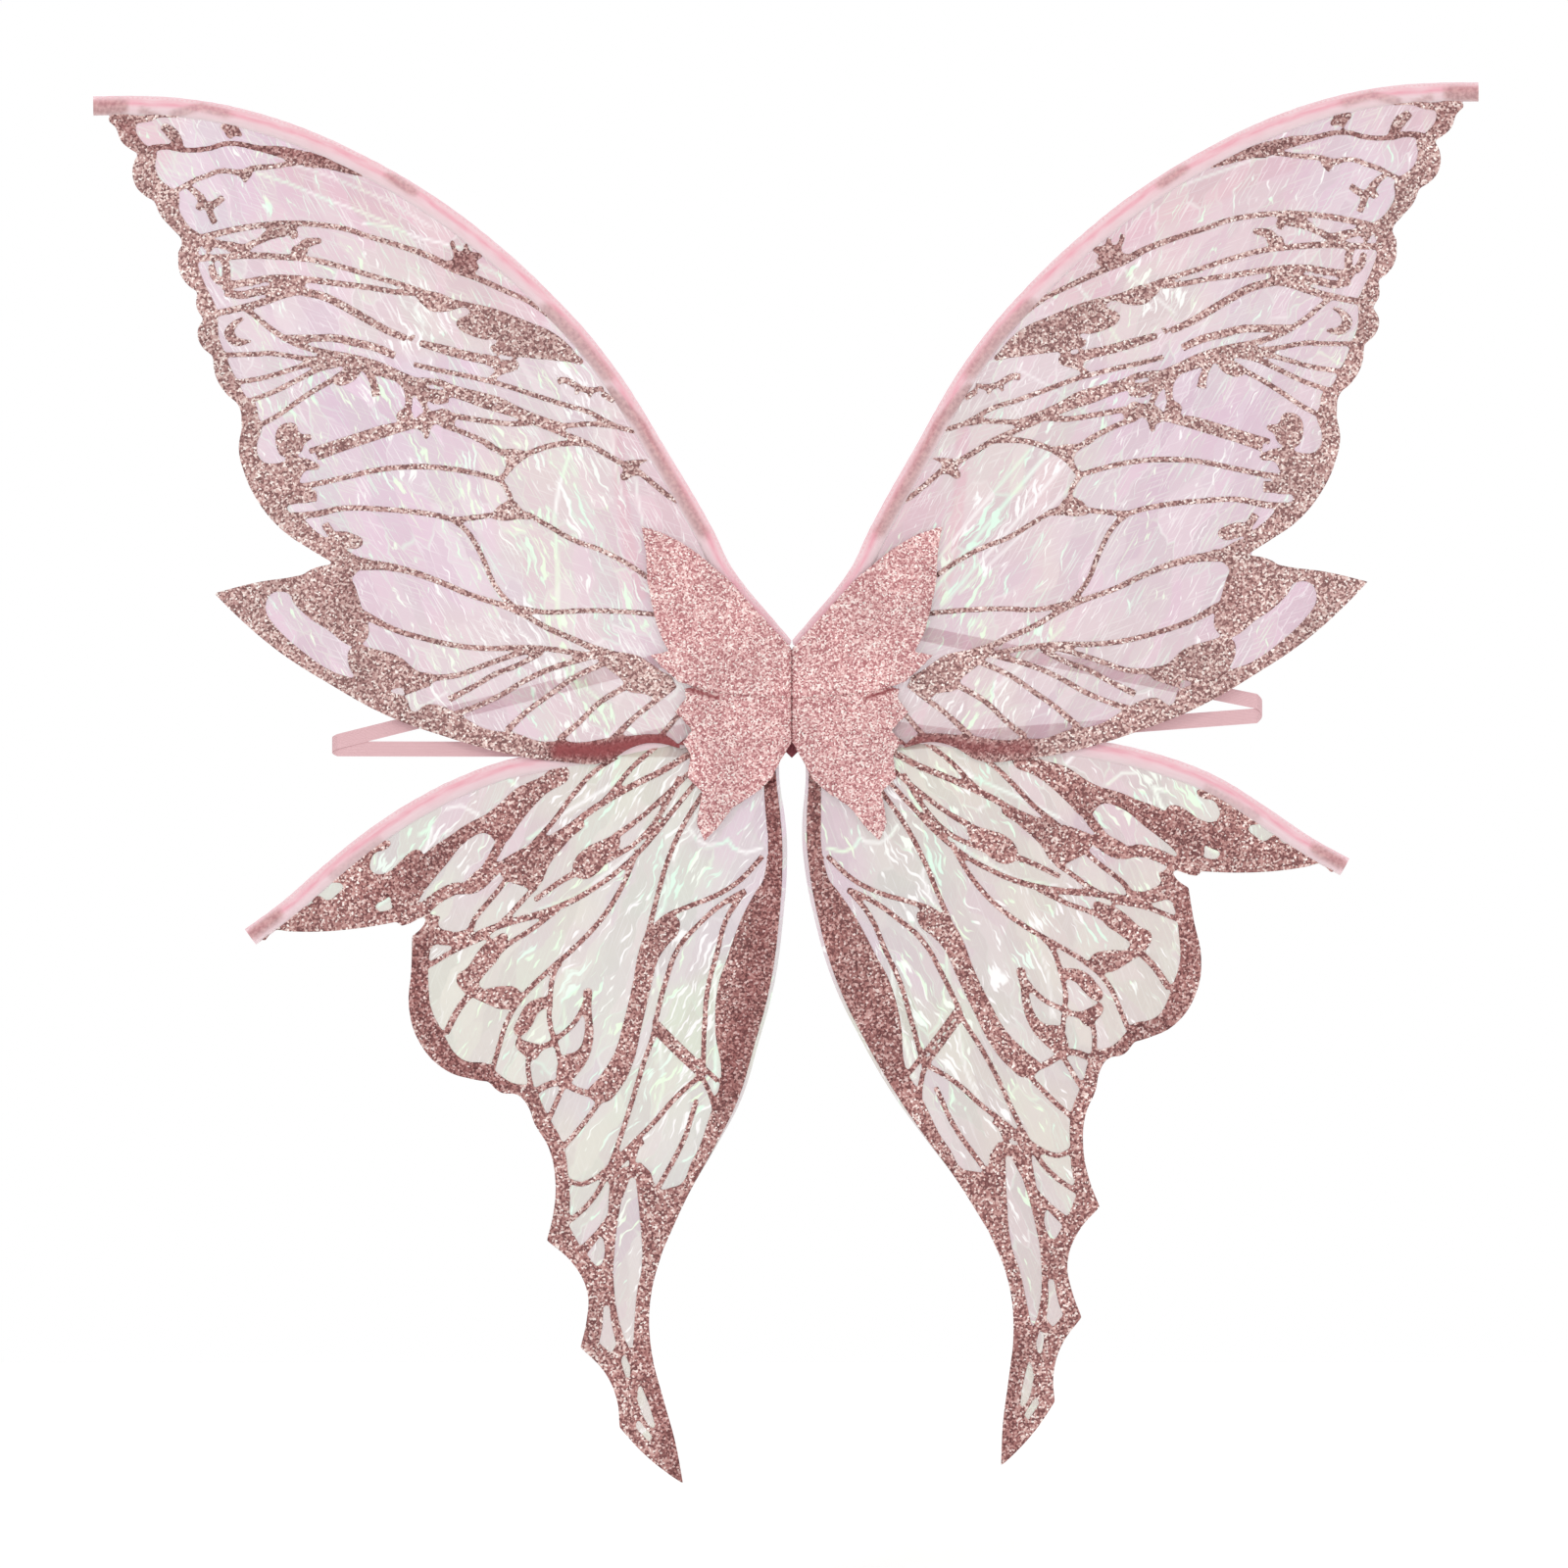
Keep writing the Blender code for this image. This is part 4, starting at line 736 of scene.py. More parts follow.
def webbing_finish(name, colour, groove_shade):
    """Narrow elastic or tape: knitted lengthwise ribs about 1 mm apart, matt, a little fuzzy at its edges."""
    made, tree, shader = finish_named(name, {"Roughness": 0.78, "Sheen Weight": 0.4})
    along = node(tree, "UVMap", {"uv_map": "cloth"})
    ribs = node(tree, "TexWave", {"wave_type": "BANDS", "bands_direction": "Y"},
                {"Vector": along.outputs["UV"], "Scale": 3.2})
    picks = node(tree, "TexWave", {"wave_type": "BANDS", "bands_direction": "X"},
                 {"Vector": along.outputs["UV"], "Scale": 0.5, "Distortion": 1.0})
    knit = node(tree, "Math", {"operation": "MULTIPLY"}, {0: ribs.outputs["Fac"], 1: picks.outputs["Fac"]})
    # Painted shade: the grooves between ribs and picks take the darker groove colour.
    shade = node(tree, "ValToRGB", None, {"Fac": knit.outputs["Value"]}, [(0.0, groove_shade), (0.6, colour)])
    tree.links.new(shade.outputs["Color"], shader.inputs["Base Color"])
    bump = node(tree, "Bump", None, {"Height": knit.outputs["Value"], "Strength": 0.5, "Distance": 0.0003})
    tree.links.new(bump.outputs["Normal"], shader.inputs["Normal"])
    return made


def felt_finish(name, colour, dark):
    """Needled polyester felt: short fibres lying every way, so it is matt and slightly mottled."""
    made, tree, shader = finish_named(name, {"Roughness": 0.92, "Sheen Weight": 0.5})
    place = node(tree, "TexCoord")
    fibre = node(tree, "TexNoise", None, {"Vector": place.outputs["Object"], "Scale": 900.0, "Detail": 4.0,
                                          "Distortion": 2.0})
    cloud = node(tree, "TexNoise", None, {"Vector": place.outputs["Object"], "Scale": 40.0, "Detail": 2.0})
    mixed = node(tree, "Math", {"operation": "MULTIPLY_ADD"},
                 {0: cloud.outputs["Fac"], 1: 0.5, 2: fibre.outputs["Fac"]})
    shade = node(tree, "ValToRGB", None, {"Fac": mixed.outputs["Value"]}, [(0.5, dark), (0.95, colour)])
    tree.links.new(shade.outputs["Color"], shader.inputs["Base Color"])
    bump = node(tree, "Bump", None, {"Height": fibre.outputs["Fac"], "Strength": 0.5, "Distance": 0.0003})
    tree.links.new(bump.outputs["Normal"], shader.inputs["Normal"])
    return made


def metal_finish(name, colour, roughness, metallic):
    """Drawn or turned metal and its coating: fine lines left by the die or the tool break up the gloss."""
    made, tree, shader = finish_named(name, {"Metallic": metallic, "Base Color": srgb(colour)})
    place = node(tree, "TexCoord")
    lines = node(tree, "TexNoise", None, {"Vector": place.outputs["Object"], "Scale": 700.0, "Detail": 2.0})
    gloss = node(tree, "MapRange", None, {"Value": lines.outputs["Fac"], "To Min": roughness - 0.08,
                                          "To Max": roughness + 0.1})
    tree.links.new(gloss.outputs["Result"], shader.inputs["Roughness"])
    return made


def thread_finish(name, colour):
    """Spun polyester thread: two plies twisted, so each stitch has slanting ridges."""
    made, tree, shader = finish_named(name, {"Roughness": 0.7, "Sheen Weight": 0.3})
    place = node(tree, "TexCoord")
    twist = node(tree, "TexWave", {"bands_direction": "DIAGONAL"},
                 {"Vector": place.outputs["Object"], "Scale": 400.0})
    # Painted shade: the twist's bands darken the colour a little between the plies.
    shade = node(tree, "Mix", {"data_type": "RGBA", "blend_type": "MULTIPLY"},
                 {0: 0.15, 6: srgb(colour), 7: twist.outputs["Color"]})
    tree.links.new(shade.outputs[2], shader.inputs["Base Color"])
    return made


FORE_FACETS = [(0.0, "#E6C2D8"), (0.35, "#ECCAD8"), (0.6, "#EADCDC"), (0.82, "#E9E6E0"), (1.0, "#EFE4EA")]
HIND_FACETS = [(0.0, "#E6CEE0"), (0.25, "#EBDADA"), (0.5, "#ECE7DC"), (0.8, "#E2EEDB"), (1.0, "#EEE9E2")]
FINISH = {
    "left forewing film": film_finish("iridescent cellophane, rosy", "#EFE0E4", FORE_FACETS, 0.9, 3.0),
    "right forewing film": film_finish("iridescent cellophane, deep rosy", "#EAD8DC", FORE_FACETS, 0.8, 3.0),
    "left hindwing film": film_finish("iridescent cellophane, ivory", "#EAE6DF", HIND_FACETS, 0.3, 1.5),
    "right hindwing film": film_finish("iridescent cellophane, warm ivory", "#E7DCD7", HIND_FACETS, 0.3, 1.5),
    "fore print": glitter("rose glitter print", "#7D5553", "#AF8480", "#D0AFA9", "#EBD5CE", 1.2),
    "hind print": glitter("deep rose glitter print", "#744443", "#A4706C", "#C59892", "#E8CDC6", 1.2),
    "leaf": glitter("pink glitter leaf", "#A96B6E", "#CF9A9A", "#E8C0BD", "#F8E2DD", 1.0),
    "ribbon": ribbon_finish("sheer organza ribbon"),
    "elastic": webbing_finish("knitted pink elastic", "#E4C0C3", "#D0A4A9"),
    "tape": webbing_finish("dark red tape", "#A8505A", "#742E38"),
    "felt": felt_finish("pink needled felt", "#DDA3A8", "#BF7F86"),
    "wire": metal_finish("pink coated spring wire", "#E58E9B", 0.38, 0.2),
    "nickel": metal_finish("turned nickel", "#C9C4BE", 0.28, 1.0),
    "vinyl": metal_finish("moulded vinyl cap", "#F3C4CB", 0.35, 0.0),
    "thread": thread_finish("pink spun thread", "#F0B6BD"),
}


def wear(piece, finish):
    """Give a piece its one material."""
    piece.data.materials.clear()
    piece.data.materials.append(FINISH[finish])


# ------------------------------------------------------------------ wings
PRINT_BLANK = 1.6
FILM_BLANK = 3.6
FILM_THIN = 0.3
PRINT_THIN = 0.45
PRINT_LIFT = 0.4

# Tints of the film: (x, z) in the pattern's millimetres and the colour seen there.
FORE_TINTS = [
    (-411, 374, "#EBCAD4"), (-306, 352, "#E8C8D6"), (-345, 335, "#E8CFE2"), (-300, 318, "#E8CDD9"),
    (-261, 310, "#E7C6D0"), (-210, 292, "#E6C1CB"), (-380, 335, "#EBE0F0"), (-306, 291, "#ECDDE6"),
    (-240, 292, "#EADADF"), (-325, 275, "#EEDFE2"), (-345, 240, "#EDE3EA"), (-300, 240, "#E8DAEC"),
    (-261, 250, "#ECE6E0"), (-285, 225, "#EFE6F0"), (-350, 210, "#EEE4EC"), (-300, 185, "#E4CFEA"),
    (-338, 192, "#EBE4E8"), (-261, 170, "#E7D2EA"), (-287, 128, "#E8E0EC"), (-229, 141, "#EADDEA"),
    (-270, 155, "#E6CFE6"), (-159, 147, "#ECE8E0"), (-133, 173, "#E6EAE2"), (-150, 190, "#ECE4EA"),
    (-107, 192, "#EBC9D2"), (-159, 90, "#ECE6E2"), (-130, 110, "#EAE6E4"), (-120, 77, "#E9DFEA"),
    (-210, 80, "#EAE0EC"), (-248, 64, "#E8D6E6"), (-270, 100, "#E9D7E8"), (-325, 51, "#E6D2E4"),
    (-229, 32, "#EADCE2"), (-159, 26, "#EAE2E2"), (-133, 0, "#E8E4DE"), (-210, 0, "#E9DFE2"),
    (-180, -15, "#E9DCE4"), (-101, -13, "#EADCDE"), (-95, 90, "#E9C6D0"), (-100, 35, "#E8DBE6")]
HIND_TINTS = [
    (-210, -70, "#E9CFE0"), (-250, -100, "#E8D4E2"), (-261, -102, "#E2F0E8"), (-159, -51, "#EDE0E6"),
    (-190, -115, "#E5CADD"), (-120, -64, "#EAEBE2"), (-95, -96, "#EAEBDC"), (-43, -88, "#E4CBE6"),
    (-31, -115, "#E5CDEA"), (-75, -128, "#DFEEE4"), (-133, -147, "#ECE9E4"), (-159, -166, "#EDE9E6"),
    (-107, -166, "#E7D6E8"), (-95, -105, "#E2CFEA"), (-60, -160, "#E5D8EE"), (-75, -224, "#DFEBDC"),
    (-210, -166, "#ECE9E6"), (-216, -218, "#EBE9E6"), (-159, -224, "#EBE9E4"), (-133, -245, "#E8DDEC"),
    (-115, -200, "#E9E2EC"), (-95, -262, "#E6EEE2"), (-69, -275, "#EAE2EE"), (-133, -320, "#EBE8E4"),
    (-175, -150, "#E9D9E6"), (-107, -358, "#E4D3E2"), (-107, -410, "#E8D8E2"), (-101, -467, "#E5E3DC")]
TINT_REACH = 0.026
# Bands of one colour: half width in mm, colour, and the points that the band runs through.
FORE_BANDS = [(4.5, "#E9BAC6", [(-114, 166), (-112, 135), (-106, 90), (-98, 60)]),
              (9.0, "#E6C0CB", [(-330, 338), (-270, 313), (-215, 287), (-180, 262)]),
              (4.0, "#EBC4CE", [(-300, 322), (-240, 300), (-190, 268)])]
HIND_BANDS = [(4.0, "#E6BFCD", [(-185, -60), (-150, -48), (-120, -44)]),
              (5.0, "#E7C4DA", [(-200, -133), (-170, -118), (-150, -104)])]
# Spots where the film gets painted glints: (x, z) and reach in mm.
FORE_GLINT_SPOTS = [
    (-235, 248, 16), (-240, 232, 12), (-262, 185, 18), (-288, 190, 12), (-175, 160, 14), (-130, 165, 18),
    (-140, 120, 28), (-155, 90, 22), (-255, 140, 18), (-215, 130, 18), (-200, 105, 14), (-332, 190, 14),
    (-315, 207, 9), (-170, 30, 22), (-150, 5, 20), (-130, -20, 18), (-110, -25, 14), (-215, 8, 12),
    (-260, 8, 8), (-100, 60, 12), (-120, 40, 14), (-150, 200, 8), (-300, 283, 9), (-345, 302, 8), (-275, 268, 10)]
HIND_GLINT_SPOTS = [
    (-72, -72, 14), (-88, -84, 14), (-104, -100, 12), (-130, -75, 9), (-108, -58, 14), (-230, -95, 13),
    (-255, -115, 9), (-150, -105, 7), (-80, -125, 16), (-84, -148, 12), (-70, -105, 10), (-66, -180, 12),
    (-72, -205, 14), (-86, -232, 13), (-84, -255, 15), (-80, -282, 14), (-50, -200, 8), (-50, -245, 8),
    (-150, -170, 12), (-185, -178, 9), (-145, -195, 12), (-120, -215, 8), (-60, -215, 8), (-110, -300, 8),
    (-30, -60, 8), (-105, -355, 6), (-100, -460, 8)]
# Creases: half width in mm, strength, then the points that it runs through.
RIGHT_FORE_GLINT_SPOTS = [
    (-95, 65, 14), (-115, 88, 18), (-135, 110, 20), (-155, 132, 18), (-172, 148, 12), (-120, 55, 14),
    (-245, 250, 14), (-210, 190, 10), (-200, 225, 9), (-330, 250, 8), (-165, 30, 16), (-130, -5, 18),
    (-100, -20, 12), (-250, 20, 9), (-290, 140, 7)]
FORE_CREASES = [
    (1.6, 0.95, [(-145, 152), (-152, 130), (-155, 110), (-153, 80), (-153, 45)]),
    (1.3, 0.8, [(-350, 335), (-328, 328), (-305, 318), (-285, 311), (-265, 303)]),
    (1.3, 0.9, [(-280, 302), (-262, 300), (-245, 293), (-228, 289), (-210, 284)]),
    (1.2, 0.6, [(-330, 342), (-300, 332), (-262, 316), (-236, 300)]),
    (1.2, 0.6, [(-205, 275), (-190, 268), (-172, 257)]),
    (1.6, 0.8, [(-238, 258), (-246, 246), (-240, 236)]),
    (1.3, 0.6, [(-125, 190), (-118, 170), (-116, 150), (-110, 120)]),
    (1.3, 0.7, [(-104, 150), (-100, 120), (-96, 100)]),
    (1.4, 0.5, [(-282, 196), (-270, 176), (-262, 160)]),
    (1.2, 0.5, [(-240, 132), (-222, 112), (-208, 90)]),
    (1.5, 0.7, [(-178, 36), (-150, 12), (-120, -14)]),
    (1.3, 0.7, [(-245, -14), (-238, -12), (-225, -4)])]
RIGHT_FORE_CREASES = [
    (1.9, 0.9, [(-88, 56), (-128, 103), (-172, 152)]),
    (1.5, 0.8, [(-98, 52), (-140, 97), (-184, 146)]),
    (1.4, 0.8, [(-84, 68), (-120, 110), (-158, 152)]),
    (1.3, 0.7, [(-110, 60), (-150, 96), (-196, 138)]),
    (1.4, 0.7, [(-205, 285), (-228, 262), (-255, 238)]),
    (1.3, 0.7, [(-188, 262), (-206, 240), (-222, 214)]),
    (1.3, 0.6, [(-350, 345), (-310, 338), (-262, 322)]),
    (1.3, 0.6, [(-150, 205), (-176, 190), (-200, 170)]),
    (1.5, 0.7, [(-178, 36), (-150, 12), (-120, -14)])]
HIND_CREASES = [
    (1.5, 1.0, [(-67, -93), (-62, -100), (-55, -104), (-45, -103), (-42, -100), (-38, -106), (-30, -109),
                (-20, -106)]),
    (1.8, 1.0, [(-195, -62), (-186, -60), (-180, -65)]),
    (1.8, 1.0, [(-243, -97), (-235, -92), (-238, -105), (-250, -128), (-270, -143)]),
    (1.5, 0.8, [(-225, -80), (-216, -78), (-205, -84)]),
    (1.6, 0.9, [(-172, -100), (-150, -84), (-120, -66), (-96, -46)]),
    (1.4, 0.8, [(-215, -131), (-195, -126), (-165, -104)]),
    (1.4, 0.7, [(-165, -146), (-140, -137), (-110, -114), (-92, -92)]),
    (1.6, 0.8, [(-86, -112), (-80, -128), (-84, -146), (-94, -160)]),
    (1.5, 0.8, [(-90, -170), (-86, -200), (-88, -222)]),
    (1.6, 0.9, [(-52, -180), (-49, -210), (-50, -262)]),
    (1.4, 0.7, [(-86, -232), (-84, -262), (-90, -284)]),
    (1.2, 0.6, [(-145, -175), (-150, -205), (-146, -235)])]
CREASE_RISE = 0.5


# Painted shade on the print, where it is drawn as turned from the light. The first forewing line, along the curled
# lower hem near the pad, stands partly for the hem's dark red underside and partly for painted shade. Reach in mm,
# strength, and the line it follows.
FORE_PAINTED_SHADE = [
    (9, 1.0, [(-152, -42), (-122, -42), (-100, -37), (-85, -36), (-70, -40)]),
    (7, 0.62, [(-437, 366), (-412, 351), (-380, 353), (-315, 347), (-249, 328)]),
    (14, 0.6, [(-218, 280), (-208, 276)]), (10, 0.5, [(-366, 363), (-360, 363)]),
    (14, 0.35, [(-215, 268), (-170, 240)]), (16, 0.3, [(-290, 60), (-240, 20)])]
HIND_PAINTED_SHADE = [
    (16, 0.6, [(-14, -60), (-10, -120), (-24, -190), (-42, -262)]),
    (10, 0.55, [(-244, -170), (-246, -205), (-222, -246), (-192, -258)]),
    (12, 0.4, [(-270, -140), (-215, -105), (-160, -92)]),
    (9, 0.5, [(-74, -515), (-82, -480), (-92, -440)])]


def creases_of(side, wing):
    """The creases in one wing's film."""
    if wing == "hindwing":
        return HIND_CREASES
    return FORE_CREASES if side == "left" else RIGHT_FORE_CREASES


def crease_strength(flat, side, wing):
    """How strongly each (x, z) point shows a crease, 0 to 1."""
    shown = np.zeros(len(flat))
    for half_width, strength, line in creases_of(side, wing):
        gap = distance_to(flat, metres(line, side, wing))
        shown = np.maximum(shown, strength * (1 - smoothstep(0.0, 1.25, gap / (half_width * MM))))
    return shown


def painted_shade_share(flat, side, wing):
    """How much painted shade each (x, z) point of the print gets, 0 to 1, as if turned from the light."""
    dark = np.zeros(len(flat))
    for reach, strength, line in FORE_PAINTED_SHADE if wing == "forewing" else HIND_PAINTED_SHADE:
        gap = distance_to(flat, metres(line, side, wing))
        dark = np.maximum(dark, strength * np.exp(-((gap / (reach * MM)) ** 2)))
    return dark * (1.0 if side == "left" else 0.75)


def tint_film(piece, side, wing):
    """Colour, creases, spots of painted glints and the pattern's own map at each of the film's points."""
    fore = wing == "forewing"
    co = coordinates(piece)[:, [0, 2]]
    tints = FORE_TINTS if fore else HIND_TINTS
    spots = np.array(metres([(x, z) for x, z, colour in tints], side, wing))
    colours = np.array([srgb(colour) for x, z, colour in tints])
    wander = np.array([noise.noise_vector((x * 30, 0.0 if side == "left" else 3.0, z * 30))[:] for x, z in co])
    spread = co + wander[:, [0, 2]] * 0.028
    weights = np.exp(-((np.linalg.norm(spread[:, None, :] - spots[None], axis=2) / TINT_REACH) ** 2)) + 1e-9
    tint = weights @ colours / weights.sum(axis=1)[:, None]
    for half_width, colour, line in FORE_BANDS if fore else HIND_BANDS:
        gap = distance_to(co, metres(line, side, wing))
        share = 0.85 * (1 - smoothstep(0.6, 1.2, gap / (half_width * MM)))[:, None]
        tint = tint * (1 - share) + np.array(srgb(colour)) * share
    layer = piece.data.color_attributes.new("tint", "FLOAT_COLOR", "POINT")
    layer.data.foreach_set("color", tint.astype(np.float32).ravel())
    # Where the film gets painted glints.
    glint_spot_share = np.zeros(len(co))
    for x, z, reach in HIND_GLINT_SPOTS if not fore else FORE_GLINT_SPOTS if side == "left" else RIGHT_FORE_GLINT_SPOTS:
        spot = np.array(metres([(x, z)], side, wing)[0])
        glint_spot_share = np.maximum(glint_spot_share, np.exp(-((np.linalg.norm(spread - spot, axis=1) / (reach * MM)) ** 2)))
    float_attribute(piece, "glint_spot", glint_spot_share)
    float_attribute(piece, "crease", crease_strength(co, side, wing))
    # The map's first way runs out along the wing, so facets and scratches lie the same way on every wing.
    out = np.array((0.62, 0.78) if fore else (0.22, -0.97))
    up = np.array((-out[1], out[0]))
    drawn = np.stack([np.abs(co[:, 0]), co[:, 1]], axis=1) / MM
    shift = 0.0 if side == "left" else 137.0
    uv_points = np.stack([drawn @ out + shift, drawn @ up + shift], axis=1).astype(np.float32)
    uv = piece.data.uv_layers.new(name="cloth")
    corners = np.zeros(len(piece.data.loops), np.int32)
    piece.data.loops.foreach_get("vertex_index", corners)
    uv.data.foreach_set("uv", uv_points[corners].ravel())


def make_film(side, wing):
    """The wing's cellophane, cut to the pattern and stretched in its sleeve."""
    if wing == "forewing":
        cut = film_cut(FORE_SCALLOPS + FORE_LOBE + FORE_ROOT, FORE_EDGE, -2)
    else:
        margin = HIND_TIP_FOOT + HIND_LOBES + HIND_TAIL_OUT + HIND_TAIL_IN + HIND_INNER + HIND_ROOT
        cut = film_cut(margin, HIND_EDGE, -1)
    piece = remesh(slab(f"{side}_{wing}_sheet", lay(cut, side, wing), FILM_BLANK), 1.7)
    press(piece, MIDDLE[wing], FILM_BLANK, FILM_THIN, side, wing)
    tint_film(piece, side, wing)
    wear(piece, f"{side} {wing} film")
    return piece


def make_print(side, wing):
    """The wing's glitter pattern, printed on the front of the film."""
    if wing == "forewing":
        shapes, holes, lines = FORE_SHAPES, {}, FORE_LINES
    else:
        shapes, holes, lines = HIND_SHAPES, {3: HIND_HOLES}, HIND_LINES
    blanks = [slab("blank", lay(shape, side, wing), PRINT_BLANK, [lay(h, side, wing) for h in holes.get(i, [])])
              for i, shape in enumerate(shapes)]
    blanks.append(strokes("lines", [lay(line, side, wing) for line in lines], PRINT_BLANK))
    piece = remesh(join(f"{side}_{wing}_glitter", blanks), 1.15)
    press(piece, MIDDLE[wing] - PRINT_LIFT, PRINT_BLANK, PRINT_THIN, side, wing)
    # Painted shade on the print, kept in the 'turned' mark.
    float_attribute(piece, "turned", painted_shade_share(coordinates(piece)[:, [0, 2]], side, wing))
    wear(piece, "fore print" if wing == "forewing" else "hind print")
    return piece


def resample(points, step):
    """Points of a smooth curve through the pattern points, at an even step, as (x, z) in metres."""
    thing = curve_object("route", False)
    thing.data.resolution_u = 12
    add_spline(thing.data, points, False)
    route = to_mesh(thing)
    line = [Vector((v.co.x, v.co.z)) for v in route.data.vertices]
    bpy.data.objects.remove(route)
    lengths = [0.0]
    for a, b in zip(line, line[1:]):
        lengths.append(lengths[-1] + (b - a).length)
    count = max(round(lengths[-1] / (step * MM)), 2)
    even = []
    index = 0
    for k in range(count + 1):
        want = lengths[-1] * k / count
        while index < len(line) - 2 and lengths[index + 1] < want:
            index += 1
        share = (want - lengths[index]) / max(lengths[index + 1] - lengths[index], 1e-9)
        even.append(line[index].lerp(line[index + 1], min(share, 1.0)))
    return even, lengths[-1]


def sweep(name, route, section, marks, length):
    """A closed section swept along a route of (x, z, side-way, y) frames, with flat ends and a cloth UV map."""
    shape = bmesh.new()
    rings = []
    for centre, across in route:
        rings.append([shape.verts.new((centre[0] + across[0] * u, centre[1] + d, centre[2] + across[1] * u))
                      for u, d in section])
    count = len(section)
    uv = shape.loops.layers.uv.new("cloth")
    steps = len(rings) - 1
    for i in range(steps):
        for j in range(count):
            k = (j + 1) % count
            face = shape.faces.new((rings[i][j], rings[i][k], rings[i + 1][k], rings[i + 1][j]))
            shares = [(i, j), (i, k), (i + 1, k), (i + 1, j)]
            for loop, (row, column) in zip(face.loops, shares):
                loop[uv].uv = (length * row / steps / MM, marks[column])
    shape.faces.new(list(reversed(rings[0])))
    shape.faces.new(rings[-1])
    bmesh.ops.recalc_face_normals(shape, faces=shape.faces)
    mesh = bpy.data.meshes.new(name)
    shape.to_mesh(mesh)
    shape.free()
    piece = bpy.data.objects.new(name, mesh)
    bpy.context.scene.collection.objects.link(piece)
    return piece


# Half section of the sleeve (mm): across from its folded outer edge to its sewn inner edge, then depth.
SLEEVE_FRONT = [(-6.2, 0.0), (-5.6, 0.75), (-4.2, 1.15), (-2.4, 1.4), (-0.6, 1.65), (0.8, 1.62), (2.0, 1.3),
                (3.0, 0.95), (4.4, 0.82), (5.6, 0.80), (6.3, 0.72)]
SLEEVE_WALL = 0.28
SLEEVE_STEP = 3.5
SLEEVE_SEAM_GAP = 0.4
SLEEVE_SLANT = 6.0
# Where the print shows through the ribbon: reach in mm, strength, and the line it follows.
FORE_STAINS = [
    (5.5, 0.75, [(-458, 377), (-438, 378)]), (3.0, 0.5, [(-404, 373), (-386, 378), (-368, 373)]),
    (2.5, 0.5, [(-425, 376), (-415, 372)]), (3.5, 0.6, [(-262, 332), (-248, 323)]),
    (4.2, 0.6, [(-160, 246), (-140, 226), (-120, 202)]),
    (4.0, 0.65, [(-118, 192), (-100, 172), (-84, 144), (-70, 120), (-58, 100)])]
HIND_STAINS = [(4.0, 0.75, [(-352, -162), (-336, -150)]), (3.0, 0.35, [(-300, -124), (-270, -101)])]


def sleeve_frames(edge, side, wing, y_middle):
    """Where the sleeve's section stands along the wing's edge; across points from the fold to the film."""
    line, length = resample(lay(edge, side, wing), SLEEVE_STEP)
    frames = []
    turn = 1 if side == "left" else -1
    for index, spot in enumerate(line):
        way = (line[min(index + 1, len(line) - 1)] - line[max(index - 1, 0)]).normalized()
        across = Vector((way.y, -way.x)) * turn * -1
        frames.append(((spot.x, y_middle * MM, spot.y), across))
    return frames, length


def make_sleeve(side, wing):
    """The ribbon folded over the wire and sewn through the film, with its little puckers."""
    edge = FORE_EDGE if wing == "forewing" else HIND_EDGE
    frames, length = sleeve_frames(edge, side, wing, MIDDLE[wing])
    outer = [(u * MM, -d * MM) for u, d in SLEEVE_FRONT]
    back = [(u * MM, d * MM) for u, d in reversed(SLEEVE_FRONT[1:])]
    inner_back = [((u - 0.05) * MM, (d - SLEEVE_WALL) * MM) for u, d in SLEEVE_FRONT[1:]]
    inner_front = [((u - 0.05) * MM, -(d - SLEEVE_WALL) * MM) for u, d in reversed(SLEEVE_FRONT[1:])]
    turn_in = [((SLEEVE_FRONT[0][0] + SLEEVE_WALL) * MM, 0.0)]
    section = outer + inner_front + turn_in + inner_back + back
    marks = [(u / MM + 6.3) / 12.6 for u, d in section]
    piece = sweep(f"{side}_{wing}_sleeve", frames, section, marks, length)
    rng = random.Random(f"{side}{wing}sleeve")
    sway = [rng.uniform(-1, 1) for _ in range(len(frames))]
    co = coordinates(piece)
    count = len(section)
    for index, (centre, across) in enumerate(frames):
        ring = slice(index * count, (index + 1) * count)
        pucker = 0.18 * math.sin(index * 2.1) + 0.22 * sway[index]
        for row in range(ring.start, ring.stop):
            u, d = section[row - ring.start]
            share = max(0.0, u / MM) / 6.3
            co[row, 1] += math.copysign(1, d) * 0.12 * MM * pucker * share
            co[row, 0] += across[0] * 0.35 * MM * pucker * share
            co[row, 2] += across[1] * 0.35 * MM * pucker * share
    if wing == "forewing":
        # The end at the root is cut aslant along the seam, so that the two sleeves close the wings' V.
        ahead = np.subtract(frames[-1][0], frames[-2][0])
        ahead /= np.linalg.norm(ahead)
        to_seam = (np.abs(co[-count:, 0]) - SLEEVE_SEAM_GAP * MM) / abs(ahead[0])
        co[-count:] += np.clip(to_seam, 0.0, SLEEVE_SLANT * MM)[:, None] * ahead
    set_coordinates(piece, co)
    stain = np.zeros(len(co))
    for reach, strength, line in FORE_STAINS if wing == "forewing" else HIND_STAINS:
        gap = distance_to(co[:, [0, 2]], metres(line, side, wing))
        stain = np.maximum(stain, strength * (1 - smoothstep(0.5, 1.3, gap / (reach * MM))))
    float_attribute(piece, "stain", stain)
    choose(piece)
    bpy.ops.object.shade_smooth_by_angle(angle=math.radians(60))
    wear(piece, "ribbon")
    return piece


